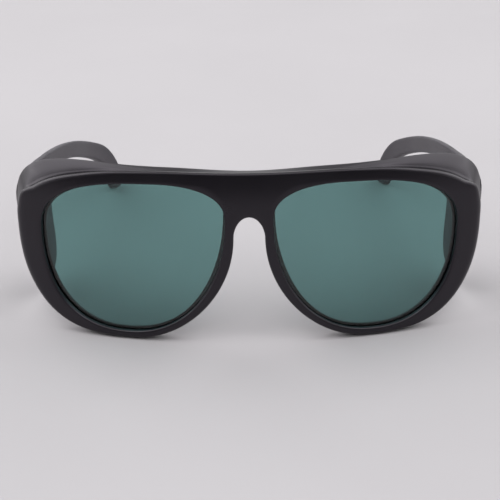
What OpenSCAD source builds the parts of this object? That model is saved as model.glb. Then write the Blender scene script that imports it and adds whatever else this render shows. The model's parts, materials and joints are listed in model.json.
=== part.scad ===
// Fit-over safety spectacles: a one-piece moulded front with a hooded brow,
// two curved filter lenses, and two folding temples with side shields.
// +X is the wearer's left, +Y runs back along the temples and +Z is up.
// The glasses stand on the two rim bottoms and the two temple tips, at z = 0.

/* [Lens opening] */
// Width of each lens opening, along the curve of the front
lens_w = 63.4; // [60:0.2:66]
// Height of each lens opening
lens_h = 53.2; // [50:0.2:56]
// Distance between the two lens openings
bridge_w = 16.2; // [14:0.2:18]
// Radius of the front's wrap round the face
wrap_r = 240; // [200:5:320]
// Angle by which the front leans back, in degrees
lean = 8; // [5:0.5:11]

/* [Rim] */
// Rim above the lens, up to the top of the brow
rim_top = 4.5; // [3.8:0.1:5.5]
// Rim below the lens
rim_bottom = 2.6; // [2.5:0.1:4]
// Rim at the temple side of the lens
rim_side = 9.8; // [8.6:0.1:10.6]
// Rim at the nose side of the lens
rim_nose = 2.8; // [2.6:0.1:3.6]
// Depth of the rim from front to back
rim_depth = 4.8; // [4.6:0.1:6]
// Plastic in front of the lens
lip_t = 1.4; // [1.2:0.1:1.6]
// Depth of the groove that holds the lens
groove_d = 1.3; // [1:0.1:1.5]
// How far the rim behind the lens stands inside the opening, beside the nose
flange_w = 1.5; // [0.6:0.1:2]
// The same at the brow, the foot and the temple side
flange_low = 0.6; // [0.3:0.1:1]
// Height of the bridge's arch below the top of the brow
bridge_h = 15.6; // [13:0.2:17]
// Rounding of the front's edges
edge_r = 0.9; // [0.6:0.1:1.2]
// Rounding of the front's outer sides
side_r = 3.2; // [2:0.1:4]

/* [Hood] */
// How far behind the rims' feet the hood ends and the temples begin
hood_y = 28.5; // [27:0.25:31]
// Wall of the hood and of the side walls
wall_t = 2.2; // [2:0.1:2.6]
// How far the side walls spread outward on their way back
side_flare = 0.5; // [0:0.1:1]
// How far the hood's corners bulge beyond that
corner_flare = 3.1; // [1.5:0.1:3.6]
// How far the hood rises above the brow between its corners
brow_flare = 0.8; // [0:0.1:1.2]
// Depth of the crease between the brow and the hood
crease_d = 0.8; // [0.3:0.1:1]

/* [Lens] */
// Thickness of the lens
lens_t = 2.0; // [1.6:0.1:2.2]
// Clearance of the lens in its groove, on each face and at its edge
lens_gap = 0.12; // [0.05:0.01:0.2]

/* [Temple] */
// Thickness of the temple and its side shield
temple_t = 2.6; // [2.4:0.1:3]
// Thickness of the temple at its tip
tip_t = 3.4; // [3:0.1:4]
// Height of the temple's arm at the hood
arm_h = 7.6; // [7:0.2:9]
// How much lower the arm is behind the shield than at the hood
arm_taper = 1.2; // [0:0.1:1.6]
// Length of the temple, measured straight back from the hood
temple_l = 95.5; // [88:0.5:102]
// Height of the temple's top edge at the hood
temple_z = 52; // [50:0.25:53]
// Slope of the temple towards the head, in millimetres over a millimetre
temple_slope = 0.168; // [0.12:0.004:0.2]
// How far the temple draws in beside the shield, beyond its slope
draw_in = 1.7; // [1:0.1:2.2]
// How far the temple stands proud of the hood
proud = 0.1; // [0:0.05:0.3]
// How far the tip curls inward
tip_curl = 3.6; // [2:0.2:6]
// How far the temple's top edge leans in towards the head
top_lean = 1.7; // [1:0.1:2.2]
// Gap between the hood and the temple's front end
butt_gap = 0.3; // [0.2:0.05:0.5]

/* [Side shield] */
// Height of the shield's lowest edge above the table
shield_z = 4.6; // [3:0.2:8]
// Length of the shield behind the hood
shield_l = 22; // [20:0.5:25]
// How far the shield's lowest edge leans in
shield_lean = 1.8; // [1:0.1:2.2]
// Height of the straight stretches of the shield's front and rear edges
shield_mid = 22; // [20:0.5:24]
// Radius of the hollow between the shield and the arm, along the temple
fillet_l = 7; // [6:0.5:9]
// Width of the window's opening
window_w = 8.6; // [7:0.2:9]
// Height of the window's opening
window_h = 20; // [18:0.5:21]
// Height of the window's middle above the table
window_z = 23; // [22:0.25:24]
// Distance of the window's middle behind the temple's front end
window_s = 7.3; // [7:0.1:8]
// Width of the step that the window's pane rests on
window_step = 1; // [0.8:0.1:1.2]
// Thickness of the window's pane
pane_t = 1.2; // [1:0.1:1.4]
// Depth of the pane's outer face below the shield's
pane_sunk = 0.15; // [0.1:0.05:0.25]
// Clearance round the pane
pane_gap = 0.1; // [0.05:0.01:0.15]

/* [Hinge] */
// Radius of the hinge's knuckles
knuckle_r = 1.9; // [1.7:0.1:2.1]
// Height of one knuckle
knuckle_h = 1.8; // [1.6:0.1:2]
// Gap between two knuckles
knuckle_gap = 0.12; // [0.08:0.02:0.2]
// Thickness of the hinge's leaves
leaf_t = 1.0; // [0.8:0.1:1.1]
// Length of the temple's leaf along the temple
leaf_l = 6; // [5:0.2:7]
// Width of the front's leaf on the back of the rim
leaf_w = 5.2; // [4.6:0.1:5.4]
// Depth of the pockets that hold the leaves
leaf_sink = 0.5; // [0.3:0.05:0.6]
// Clearance round the leaves in their pockets
leaf_gap = 0.05; // [0.03:0.01:0.1]
// Height of the hinge's middle above the table
hinge_z = 41; // [40:0.25:41.5]
// Room between the knuckles and the plastic
hinge_room = 0.25; // [0.2:0.05:0.4]
// Radius of the hinge screw's shank
screw_r = 0.7; // [0.6:0.05:0.8]
// Radius of the screw's head
screw_head_r = 1.45; // [1.3:0.05:1.6]
// Height of the screw's head
screw_head_h = 0.7; // [0.6:0.05:0.8]
// Clearance of the shank in the knuckles' bores
screw_gap = 0.05; // [0.03:0.01:0.08]

/* [Hidden] */

PLASTIC = [0.13, 0.12, 0.14];
FILTER = [0.16, 0.38, 0.37, 0.75];
STEEL = [0.62, 0.62, 0.64];

// Stations round one lens opening, and the angle between two of them
STATIONS = 72;
STEP = 360 / STATIONS;
// The brow's top edge ends and the bridge begins at this angle, then the arch begins
BRIDGE_A = 120;
ARCH_A = 155;

// The four extremes of the lens opening, in the unrolled front
open_nose = bridge_w / 2;
open_side = open_nose + lens_w;
open_low = rim_bottom;
open_top = open_low + lens_h;

// The same four for the front's outline
out_nose = open_nose - rim_nose;
out_side = open_side + rim_side;
out_top = open_top + rim_top;
arch_v = out_top - bridge_h;

// Where the extremes lie along the other direction, as shares of the opening
open_crown_u = open_nose + 0.395 * lens_w;
open_foot_u = open_nose + 0.52 * lens_w;
open_nose_v = open_low + 0.77 * lens_h;
open_side_v = open_low + 0.645 * lens_h;
out_crown_u = open_nose + 0.505 * lens_w;
out_foot_u = open_nose + 0.5 * lens_w;
out_nose_v = 0.965 * out_top - 21.5;
out_side_v = 0.68 * out_top;

// Squareness of the four quarters: temple-top, nose-top, nose-foot, temple-foot
OPEN_POWER = [2.65, 2.4, 2.1, 2.35];
OUT_POWER = [2.52, 3, 1.9, 2.61];
ARCH_POWER = 2;

// Drop of the brow's top edge at the middle of the face
brow_dip = 0.6;

function smooth(a, b, x) =
    let (t = min(1, max(0, (x - a) / (b - a)))) t * t * (3 - 2 * t);
function unit(v) = v / norm(v);
function turn(a) = a > 180 ? a - 360 : a;

// A point on a quarter of a rounded outline and the inward normal there
function quarter(centre, reach, power, a) =
    let (
        c = abs(cos(a)),
        s = abs(sin(a)),
        x = pow(c, 2 / power),
        y = pow(s, 2 / power),
        nx = pow(x, power - 1) / abs(reach[0]),
        ny = pow(y, power - 1) / abs(reach[1])
    )
    [
        [centre[0] + reach[0] * x, centre[1] + reach[1] * y],
        unit([-sign(reach[0]) * nx, -sign(reach[1]) * ny])
    ];

// A closed outline of four quarters: extremes, the places of the extremes and powers
function outline(ext, places, power, a) =
    a <= 90 ? quarter([places[0], places[3]], [ext[1] - places[0], ext[3] - places[3]], power[0], a)
    : a <= 180 ? quarter([places[0], places[2]], [ext[0] - places[0], ext[3] - places[2]], power[1], a)
    : a <= 270 ? quarter([places[1], places[2]], [ext[0] - places[1], ext[2] - places[2]], power[2], a)
    : quarter([places[1], places[3]], [ext[1] - places[1], ext[2] - places[3]], power[3], a);

function opening(a) = outline(
    [open_nose, open_side, open_low, open_top],
    [open_crown_u, open_foot_u, open_nose_v, open_side_v], OPEN_POWER, a)[0];

// The front's outline: brow, middle of the bridge, arch, then the rim
function front_outline(a) =
    a > 90 && a <= BRIDGE_A ? brow(a)
    : a > BRIDGE_A && a < ARCH_A ? bridge_middle(a)
    : a >= ARCH_A && a <= 180 ? arch(a)
    : outline([out_nose, out_side, 0, out_top],
        [out_crown_u, out_foot_u, out_nose_v, out_side_v], OUT_POWER, a);

function brow(a) =
    let (t = (BRIDGE_A - a) / (BRIDGE_A - 90))
    [[out_crown_u * t, out_top - brow_dip * (1 - smooth(0, 1, t))], [0, -1]];

function bridge_middle(a) =
    let (
        t = (a - BRIDGE_A) / (ARCH_A - BRIDGE_A),
        high = out_top - brow_dip - edge_r,
        low = arch_v + edge_r
    )
    [[0, high + (low - high) * t], [0, 0]];

function arch(a) =
    let (t = 90 * (1 - (a - ARCH_A) / (180 - ARCH_A)))
    quarter([0, out_nose_v], [out_nose, arch_v - out_nose_v], ARCH_POWER, t);

// The inward normal of the arch points away from the nose
function front_normal(a) =
    let (n = front_outline(a)[1]) a >= ARCH_A && a <= 180 ? -n : n;

// Bends a point of the unrolled front round the face and leans it back
function bend(p, w) =
    let (
        turned = turned_by(p[0]),
        depth = wrap_r - (wrap_r - w) * cos(turned)
    )
    [
        (wrap_r - w) * sin(turned),
        depth * cos(lean) + p[1] * sin(lean),
        p[1] * cos(lean) - depth * sin(lean)
    ];
function turned_by(u) = u / wrap_r * 180 / PI;

// The same, lifted so that the rims' feet touch the table
foot_lift = -min([for (a = [240:STEP:320]) bend(front_outline(a)[0], rim_depth - 0.6)[2]]);
function wrap(p, w) = bend(p, w) + [0, 0, foot_lift];

// How much of the hood a station has: none at the nose and foot, all at the corner
function hood_share(a) =
    let (t = turn(a)) smooth(-58, -15, t) * (1 - smooth(18, 94, t));
function side_share(a) =
    let (t = turn(a)) smooth(-70, -25, t) * (1 - smooth(8, 32, t));
function corner_share(a) =
    let (t = turn(a) - 42, reach = t < 0 ? 36 : 58) abs(t) < reach ? pow(cos(90 * t / reach), 2) : 0;
function brow_share(a) =
    let (t = turn(a)) smooth(55, 88, t) * (1 - smooth(100, BRIDGE_A, t));
function crease_share(a) =
    let (t = turn(a)) smooth(12, 24, t) * (1 - smooth(66, 104, t));

function nose_share(a) = smooth(120, 170, a) * (1 - smooth(200, 250, a));

function is_bridge(a) = a > BRIDGE_A && a < ARCH_A;
function on_middle(a) = a >= BRIDGE_A && a <= ARCH_A;

// Where the outer wall of a station ends: the point and its outward direction
function wall_end(a, inset) =
    let (
        o = front_outline(a),
        n = front_normal(a),
        p = o[0] + n * inset,
        front = wrap(p, 0),
        rim = wrap(p, rim_depth),
        k = hood_share(a),
        out = side_flare * k + corner_flare * corner_share(a) + brow_flare * brow_share(a)
    )
    rim * (1 - k) + [front[0], hood_y, front[2]] * k - [n[0], 0, n[1]] * out;

// One section through the rim: from the lip, over the face, round the wall to the groove
FACE_POINT = 3;
REAR_POINT = 13;
function section(a) =
    let (
        in = opening(a),
        o = front_outline(a),
        n = front_normal(a),
        span = norm(o[0] - in),
        line = (o[0] - in) / span,
        middle = is_bridge(a),
        k = hood_share(a),
        r = middle ? 0 : edge_r + (side_r - edge_r) * side_share(a),
        crease = middle ? 0 : crease_d * crease_share(a),
        start = middle ? 0.1 : r,
        wall = min(wall_t, 0.5 * span),
        inset = middle ? 0 : 1,
        aside = on_middle(a) ? 1 : 0,
        root = wrap(o[0], start + 1.2),
        end = wall_end(a, 0),
        face_end = o[0] + n * wall * inset,
        behind = in - line * (flange_low + (flange_w - flange_low) * nose_share(a))
    )
    [
        wrap(in, 0.6),
        wrap(in + line * 0.2, 0.2),
        wrap(in + line * 0.7, 0),
        wrap(o[0] + n * r, 0),
        wrap(o[0] + n * r * 0.5, r * 0.134),
        wrap(o[0] + n * r * 0.134, middle ? 0.05 : r * 0.5),
        wrap(o[0], start),
        wrap(o[0] + n * crease, start + 0.45),
        wrap(o[0] + n * crease, start + 0.8),
        root,
        root * 0.5 + end * 0.5,
        root * (0.6 / norm(end - root)) + end * (1 - 0.6 / norm(end - root)),
        wall_end(a, inset * 0.2) - rearward(a) * 0.15,
        wall_end(a, inset * 0.7),
        wall_end(a, inset * (wall - 0.6)) + step_in(a, 0.5) * aside,
        wall_end(a, inset * (wall - 0.15)) - rearward(a) * 0.6 * k + step_in(a, 0.9) * aside,
        wrap(face_end, rim_depth + 0.5 * k) + step_in(a, 0.15 + 1.2 * aside),
        wrap(face_end, rim_depth) + step_in(a, 0.6 + 1.2 * aside),
        wrap(behind + line * 0.5, rim_depth),
        wrap(behind, rim_depth - 0.5),
        wrap(behind, lip_t + lens_t + 2 * lens_gap),
        wrap(in + line * groove_d, lip_t + lens_t + 2 * lens_gap),
        wrap(in + line * groove_d, lip_t),
        wrap(in, lip_t)
    ];

// A small move from the wall towards the lens, and the wall's own direction
function step_in(a, d) =
    let (p = front_outline(a)[0], q = p + unit(opening(a) - p) * d)
    wrap(q, rim_depth) - wrap(p, rim_depth);
function rearward(a) =
    let (p = front_outline(a)[0]) unit(wall_end(a, 0) - wrap(p, 0));

PROFILE = len(section(0));
half_points = [for (i = [0:STATIONS - 1]) each section(i * STEP)];
front_points = concat(half_points, [for (p = half_points) [-p[0], p[1], p[2]]]);

// Points on the middle of the bridge belong to both halves
function shared(i, j) = on_middle(i * STEP) && j >= FACE_POINT && j <= REAR_POINT;
function point_at(side, i, j) =
    let (s = i % STATIONS, k = j % PROFILE)
    (side == 1 && !shared(s, k) ? STATIONS * PROFILE : 0) + s * PROFILE + k;
function seam(i, j) = shared(i, j) && shared((i + 1) % STATIONS, j) && j < REAR_POINT;

front_faces = [
    for (side = [0, 1])
        for (i = [0:STATIONS - 1])
            for (j = [0:PROFILE - 1])
                if (!seam(i, j))
                    for (f = quad(
                        point_at(side, i, j), point_at(side, i + 1, j),
                        point_at(side, i + 1, j + 1), point_at(side, i, j + 1), side))
                        f
];

// Two triangles for a patch, turned over on the mirrored side
function quad(a, b, c, d, flip) =
    flip == 1 ? [[a, c, b], [a, d, c]] : [[a, b, c], [a, c, d]];

// The lens: rings of points from its edge in the groove to its middle
RINGS = [1, 0.8, 0.55, 0.28];
lens_mid = [open_nose + 0.5 * lens_w, open_low + 0.52 * lens_h];
lens_w0 = lip_t + lens_gap;
function lens_edge(a) =
    let (in = opening(a))
    in + unit(front_outline(a)[0] - in) * (groove_d - lens_gap);
function lens_side(w) = concat(
    [for (f = RINGS) for (i = [0:STATIONS - 1]) wrap(lens_mid + (lens_edge(i * STEP) - lens_mid) * f, w)],
    [wrap(lens_mid, w)]);
LENS_N = len(RINGS) * STATIONS + 1;
lens_points = concat(lens_side(lens_w0), lens_side(lens_w0 + lens_t));
lens_faces = concat(
    [for (r = [0:len(RINGS) - 2]) for (i = [0:STATIONS - 1]) for (f = quad(
        ring(0, r, i), ring(0, r, i + 1), ring(0, r + 1, i + 1), ring(0, r + 1, i), 1)) f],
    [for (r = [0:len(RINGS) - 2]) for (i = [0:STATIONS - 1]) for (f = quad(
        ring(1, r, i), ring(1, r, i + 1), ring(1, r + 1, i + 1), ring(1, r + 1, i), 0)) f],
    [for (i = [0:STATIONS - 1]) [ring(0, 3, i + 1), ring(0, 3, i), LENS_N - 1]],
    [for (i = [0:STATIONS - 1]) [ring(1, 3, i), ring(1, 3, i + 1), 2 * LENS_N - 1]],
    [for (i = [0:STATIONS - 1]) for (f = quad(
        ring(0, 0, i), ring(0, 0, i + 1), ring(1, 0, i + 1), ring(1, 0, i), 0)) f]
);
function ring(face, r, i) = face * LENS_N + r * STATIONS + i % STATIONS;

// The temple's outer face: how far it stands from the middle, at a distance behind the hood
side_x = wall_end(0, 0)[0] + proud;
curl_from = 0.63 * temple_l;
function plate_x(s) =
    side_x - temple_slope * s - draw_in * smooth(0, 18, s)
    - tip_curl * pow(max(0, s - curl_from) / (temple_l - curl_from), 2);

// Middle line of the arm: it sags to the tip, which rests on the table
tip_r = (arm_h - arm_taper) / 2;
tip_s = temple_l - tip_r;
arm_drop = temple_z - arm_h / 2 - tip_r;
function arm_half(s) = (arm_h - arm_taper * smooth(8, 45, s)) / 2;
function arm_z(s) =
    temple_z - arm_h / 2 - 0.77 * arm_drop * pow(max(0, s) / tip_s, 1.9)
    - 0.23 * arm_drop * pow(max(0, s / tip_s - 0.79) / 0.21, 3);
function arm_slope(s) = (arm_z(s + 0.1) - arm_z(s - 0.1)) / 0.2;
// Sections stand upright at the shield and square to the arm behind it
function arm_up(s) = unit([-arm_slope(s) * smooth(18, 45, s), 1]);
function arm_along(s) = unit([1, arm_slope(s)]);

// Lean of the sheet towards the head, at a point behind the hood and above the table
function top_roll(s, h) =
    (top_lean + 1.1 * (1 - smooth(0, 14, s))) * pow(max(0, h + arm_h / 2 + 2) / (arm_h + 2), 2);
function low_roll(z, s) = shield_lean * pow(max(0, 30 - z) / (30 - shield_z), 2) * (1 - smooth(24, 40, s));

// The shield's lower outline: front corner, rear corner and the fillet up to the arm
arm_from = shield_l + fillet_l;
arm_under = arm_z(arm_from) - arm_half(arm_from);
function shield_front(f) = [7 - 7 * cos(f), shield_mid - (shield_mid - shield_z) * sin(f)];
function shield_rear(f) = [
    8 + (shield_l - 8) * pow(cos(f), 0.8),
    shield_mid - (shield_mid - shield_z) * pow(sin(f), 0.8)
];
function shield_fillet(f) = [
    shield_l + fillet_l * (1 - cos(f)),
    shield_mid + (arm_under - shield_mid) * sin(f)
];

// Stations along the temple: distance behind the hood, lowest height and the cap's angle
stations = concat(
    [for (f = [0, 25, 50, 75, 90]) [max(butt_gap, shield_front(f)[0]), shield_front(f)[1], 0]],
    [for (f = [75, 60, 47, 35, 24, 14, 6, 1]) [shield_rear(f)[0], shield_rear(f)[1], 0]],
    [for (f = [18, 36, 52, 68, 90]) [shield_fillet(f)[0], shield_fillet(f)[1], 0]],
    [for (k = [1:14]) [arm_from + (tip_s - arm_from) * k / 14, undef, 0]],
    [for (f = [20, 40, 58, 74, 86]) [tip_s, undef, f]]
);

// One section of the temple: outer face upward, top edge, inner face downward, low edge
SHARES = [0, 0.15, 0.32, 0.5, 0.66, 0.78, 0.87, 0.94, 1];
function sheet(k) =
    let (
        s = k[0],
        cap = k[2],
        up = arm_up(s),
        mid = [s, arm_z(s)] + arm_along(s) * sin(cap) * arm_half(s),
        top = cos(cap) * arm_half(s),
        low = is_undef(k[1]) ? -top : (k[1] - mid[1]) / up[1],
        t = temple_t + (tip_t - temple_t) * smooth(0.6, 0.95, s / temple_l),
        r = min(1, top * 0.6),
        r2 = r * 0.29,
        rise = top - low - 2 * r
    )
    concat(
        [for (f = SHARES) sheet_point(mid, up, low + r + rise * f, 0)],
        [sheet_point(mid, up, top - r2, r2), sheet_point(mid, up, top, 1)],
        [sheet_point(mid, up, top, t - 1), sheet_point(mid, up, top - r2, t - r2)],
        [for (f = SHARES) sheet_point(mid, up, low + r + rise * (1 - f), t)],
        [sheet_point(mid, up, low + r2, t - r2), sheet_point(mid, up, low, t - 1)],
        [sheet_point(mid, up, low, 1), sheet_point(mid, up, low + r2, r2)]
    );
function sheet_point(mid, up, h, d) =
    let (p = mid + up * h)
    [plate_x(p[0]) - top_roll(p[0], h) - low_roll(p[1], p[0]) - d, hood_y + p[0], p[1]];

SHEET_N = len(sheet(stations[0]));
temple_points = [for (k = stations) each sheet(k)];
temple_faces = concat(
    [[for (j = [SHEET_N - 1:-1:0]) j]],
    [for (i = [0:len(stations) - 2]) for (j = [0:SHEET_N - 1]) for (f = quad(
        i * SHEET_N + j, (i + 1) * SHEET_N + j,
        (i + 1) * SHEET_N + (j + 1) % SHEET_N, i * SHEET_N + (j + 1) % SHEET_N, 1)) f],
    [[for (j = [0:SHEET_N - 1]) (len(stations) - 1) * SHEET_N + j]]
);

// The part's middle between front and back lies over the origin
front_y = min([for (p = front_points) p[1]]);
back_y = max([for (p = temple_points) p[1]]);
mid_y = (front_y + back_y) / 2;

// The side window's place: on the shield, turned and tilted with it
window_from = butt_gap + window_s;
window_turn = atan((plate_x(window_from - 4) - plate_x(window_from + 4)) / 8);
window_foot = low_roll(window_z - window_h / 2, window_from);
window_tilt = atan(window_foot / window_h);
window_x = plate_x(window_from) - window_foot / 2 - pane_sunk;
module at_window() {
    translate([window_x, hood_y + window_from, window_z])
        rotate([0, 0, window_turn])
            rotate([0, window_tilt, 0])
                children();
}
module window_block(w, h, x0, x1, r) {
    translate([x0, 0, 0])
        rotate([90, 0, 90])
            linear_extrude(x1 - x0) {
                square([w - 2 * r, h], center = true);
                square([w, h - 2 * r], center = true);
                for (i = [-1, 1], j = [-1, 1])
                    translate([i * (w / 2 - r), j * (h / 2 - r)])
                        circle(r, $fn = 48);
            }
}

// The hinge: its pin stands inside the joint of the hood and the temple
pin_x = plate_x(butt_gap) - temple_t - knuckle_r - hinge_room - leaf_gap;
pin_y = hood_y + butt_gap / 2;
stack_h = 5 * knuckle_h + 4 * knuckle_gap;
stack_z = hinge_z - stack_h / 2;
leaf_s = butt_gap + knuckle_r + hinge_room + leaf_l / 2;
leaf_turn = atan((plate_x(leaf_s - 2) - plate_x(leaf_s + 2)) / 4);
rim_leaf_u = out_side - wall_t - 2 * hinge_room - leaf_w / 2;
rim_leaf_v = (hinge_z - foot_lift + bend([rim_leaf_u, 0], rim_depth)[1] * tan(lean)) / cos(lean);
module at_pin() {
    translate([pin_x, pin_y, stack_z]) children();
}
module at_temple_leaf() {
    translate([plate_x(leaf_s) - temple_t, hood_y + leaf_s, hinge_z])
        rotate([0, 0, leaf_turn])
            children();
}
module at_rim_leaf() {
    translate(wrap([rim_leaf_u, rim_leaf_v], rim_depth))
        rotate([-lean, 0, 0])
            rotate([0, 0, turned_by(rim_leaf_u)])
                children();
}
module knuckle(i) {
    translate([0, 0, i * (knuckle_h + knuckle_gap)]) cylinder(r = knuckle_r, h = knuckle_h, $fn = 48);
}
module pin_bore() {
    translate([0, 0, -1]) cylinder(r = screw_r + screw_gap, h = stack_h + 2, $fn = 36);
}
// Room for the knuckles and the screw in the plastic round the pin
module hinge_relief() {
    at_pin() translate([0, 0, -hinge_room])
        cylinder(r = knuckle_r + hinge_room, h = stack_h + screw_head_h + 2 * hinge_room + 0.1, $fn = 48);
}
// Arms from the knuckles to the leaves: out to the temple's leaf, forward to the rim's
arm_out = (plate_x(leaf_s) - temple_t - pin_x) * cos(leaf_turn)
    + (hood_y + leaf_s - pin_y) * sin(leaf_turn) + leaf_sink;
module temple_arm(h, extra) {
    rotate([0, 0, leaf_turn])
        translate([0.5 * knuckle_r, -extra, -extra])
            cube([arm_out - 0.5 * knuckle_r, 3 + 2 * extra, h + 2 * extra]);
}
function rim_arm_y(i) =
    let (
        z = stack_z + i * (knuckle_h + knuckle_gap) + knuckle_h / 2,
        u = wrap_r * asin((pin_x - knuckle_r / 2) / (wrap_r - rim_depth)) * PI / 180,
        flat = wrap([u, rim_leaf_v], rim_depth)
    )
    flat[1] + (z - flat[2]) * tan(lean);
module rim_arm(i, extra) {
    translate([-0.95 * knuckle_r - extra, rim_arm_y(i) - pin_y, i * (knuckle_h + knuckle_gap) - extra])
        cube([0.9 * knuckle_r + 2 * extra, pin_y - rim_arm_y(i), knuckle_h + 2 * extra]);
}
module temple_leaf(extra) {
    translate([leaf_sink - leaf_t, -leaf_l / 2 - extra, -stack_h / 2 - extra])
        cube([leaf_t, leaf_l + 2 * extra, stack_h + 2 * extra]);
}
module rim_leaf(extra) {
    translate([-leaf_w / 2 - extra, -leaf_sink, -stack_h / 2 - extra])
        cube([leaf_w + 2 * extra, leaf_t, stack_h + 2 * extra]);
}

module front_frame() {
    color(PLASTIC) difference() {
        polyhedron(front_points, front_faces, convexity = 8);
        both_sides() {
            hinge_relief();
            at_rim_leaf() rim_leaf(leaf_gap);
            at_pin() rim_arm(4, leaf_gap);
        }
    }
}
module lens() {
    color(FILTER) polyhedron(lens_points, lens_faces, convexity = 4);
}
module temple() {
    color(PLASTIC) difference() {
        polyhedron(temple_points, temple_faces, convexity = 8);
        hinge_relief();
        at_temple_leaf() temple_leaf(leaf_gap);
        at_pin() temple_arm(stack_h, 2 * leaf_gap);
        at_window() {
            window_block(window_w, window_h, -4, 4, 2);
            window_block(window_w + 2 * window_step, window_h + 2 * window_step, -pane_t, 4, 2 + window_step);
        }
    }
}
module side_window() {
    color(FILTER) at_window() window_block(
        window_w + 2 * window_step - 2 * pane_gap, window_h + 2 * window_step - 2 * pane_gap,
        -pane_t, 0, 2 + window_step - pane_gap);
}
module front_hinge() {
    color(STEEL) difference() {
        union() {
            at_rim_leaf() rim_leaf(0);
            at_pin() for (i = [0, 2, 4]) {
                knuckle(i);
                rim_arm(i, 0);
            }
        }
        at_pin() pin_bore();
    }
}
module temple_hinge() {
    color(STEEL) difference() {
        union() {
            at_temple_leaf() temple_leaf(0);
            at_pin() for (i = [1, 3]) {
                knuckle(i);
                translate([0, 0, i * (knuckle_h + knuckle_gap)]) temple_arm(knuckle_h, 0);
            }
        }
        at_pin() pin_bore();
    }
}
module hinge_screw() {
    color(STEEL) at_pin() difference() {
        union() {
            translate([0, 0, -0.3]) cylinder(r = screw_r, h = stack_h + 0.4, $fn = 36);
            translate([0, 0, stack_h]) cylinder(r = screw_head_r, h = screw_head_h, $fn = 48);
        }
        translate([-2, -0.2, stack_h + screw_head_h - 0.35]) cube([4, 0.4, 1]);
    }
}

module both_sides() {
    children();
    mirror([1, 0, 0]) children();
}
module placed(side) {
    translate([0, -mid_y, 0])
        mirror([side == "right" ? 1 : 0, 0, 0])
            children();
}

placed("left") front_frame();
placed("left") lens();  // lens_left
placed("right") lens();  // lens_right
placed("left") front_hinge();  // front_hinge_left
placed("right") front_hinge();  // front_hinge_right
placed("left") hinge_screw();  // hinge_screw_left
placed("right") hinge_screw();  // hinge_screw_right
placed("left") temple();  // temple_left
placed("right") temple();  // temple_right
placed("left") temple_hinge();  // temple_hinge_left
placed("right") temple_hinge();  // temple_hinge_right
placed("left") side_window();  // side_window_left
placed("right") side_window();  // side_window_right
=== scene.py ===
"""Fit-over safety spectacles, dressed for their picture.

The one-piece front, the filter lenses and the folding temples are shaped from
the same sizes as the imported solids, in millimetres on the wearer's left side,
and then set in metres on either side of the face. +X is the wearer's left,
+Y runs back along the temples and +Z is up.
"""

from __future__ import annotations

import json
import logging
import math
from collections.abc import Callable, Iterable, Sequence
from dataclasses import dataclass, field
from enum import Enum

import bpy
from mathutils import Matrix, Vector

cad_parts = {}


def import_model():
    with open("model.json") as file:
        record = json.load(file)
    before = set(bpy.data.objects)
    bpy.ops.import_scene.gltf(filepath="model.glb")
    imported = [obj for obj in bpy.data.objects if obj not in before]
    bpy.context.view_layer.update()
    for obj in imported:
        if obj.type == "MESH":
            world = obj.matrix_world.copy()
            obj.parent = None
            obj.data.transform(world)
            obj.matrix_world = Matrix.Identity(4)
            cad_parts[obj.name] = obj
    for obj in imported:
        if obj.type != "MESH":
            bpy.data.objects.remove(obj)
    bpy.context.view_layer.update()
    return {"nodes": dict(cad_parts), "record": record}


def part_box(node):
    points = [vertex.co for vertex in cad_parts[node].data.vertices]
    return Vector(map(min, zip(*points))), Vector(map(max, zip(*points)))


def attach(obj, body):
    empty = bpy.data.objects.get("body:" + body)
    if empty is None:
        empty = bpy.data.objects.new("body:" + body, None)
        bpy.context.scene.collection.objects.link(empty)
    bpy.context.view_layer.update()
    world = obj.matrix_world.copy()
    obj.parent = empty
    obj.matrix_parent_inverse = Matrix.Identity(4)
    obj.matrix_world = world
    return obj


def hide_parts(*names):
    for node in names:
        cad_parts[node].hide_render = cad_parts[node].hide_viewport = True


log = logging.getLogger("spectacles")

MM = 0.001
MERGE = 1e-7
CARVE_TRIES = 8
CARVE_KEEPS = 0.8
NOISE_MIDDLE = 0.5

Pair = tuple[float, float]
Triple = tuple[float, float, float]
Span = tuple[float, float, float, float]


class Side(Enum):
    """The wearer's sides, with the sign of x on each."""

    LEFT = 1
    RIGHT = -1

    @property
    def word(self) -> str:
        """The side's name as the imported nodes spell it."""
        return self.name.lower()


class Part(Enum):
    """The parts of a mesh that are picked, with edit mode's word for each."""

    EDGES = "EDGE"
    FACES = "FACE"


def smooth(a: float, b: float, x: float) -> float:
    """A step from 0 at a to 1 at b with soft ends.

    Args:
        a: Where the step begins.
        b: Where it ends.
        x: The place asked about.

    Returns:
        The step's height at x.
    """
    t = min(1.0, max(0.0, (x - a) / (b - a)))
    return t * t * (3 - 2 * t)


def swell(span: Sequence[float], x: float) -> float:
    """A soft rise from 0 to 1, a stretch of 1 and a soft fall back to 0.

    Args:
        span: Where the rise begins and ends, and where the fall does.
        x: The place asked about.

    Returns:
        The height at x.
    """
    return smooth(span[0], span[1], x) * (1 - smooth(span[2], span[3], x))


def ramp(first: float, last: float, count: int) -> list[float]:
    """Evenly spread numbers.

    Args:
        first: The first number.
        last: The last number.
        count: How many there are.

    Returns:
        The numbers, both ends among them.
    """
    return [first + (last - first) * i / (count - 1) for i in range(count)]


def turns(first: float, last: float, count: int) -> list[float]:
    """Evenly spread angles, given in degrees.

    Args:
        first: The first angle.
        last: The last angle.
        count: How many there are.

    Returns:
        The angles in radians.
    """
    return [math.radians(x) for x in ramp(first, last, count)]


def rounding(count: int) -> list[Pair]:
    """Points round a quarter of a circle that joins two faces.

    Args:
        count: How many there are.

    Returns:
        At each, the share gone along the new face and the share left of the old one.
    """
    return [(1 - math.cos(x), 1 - math.sin(x)) for x in turns(0, 90, count)]


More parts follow.
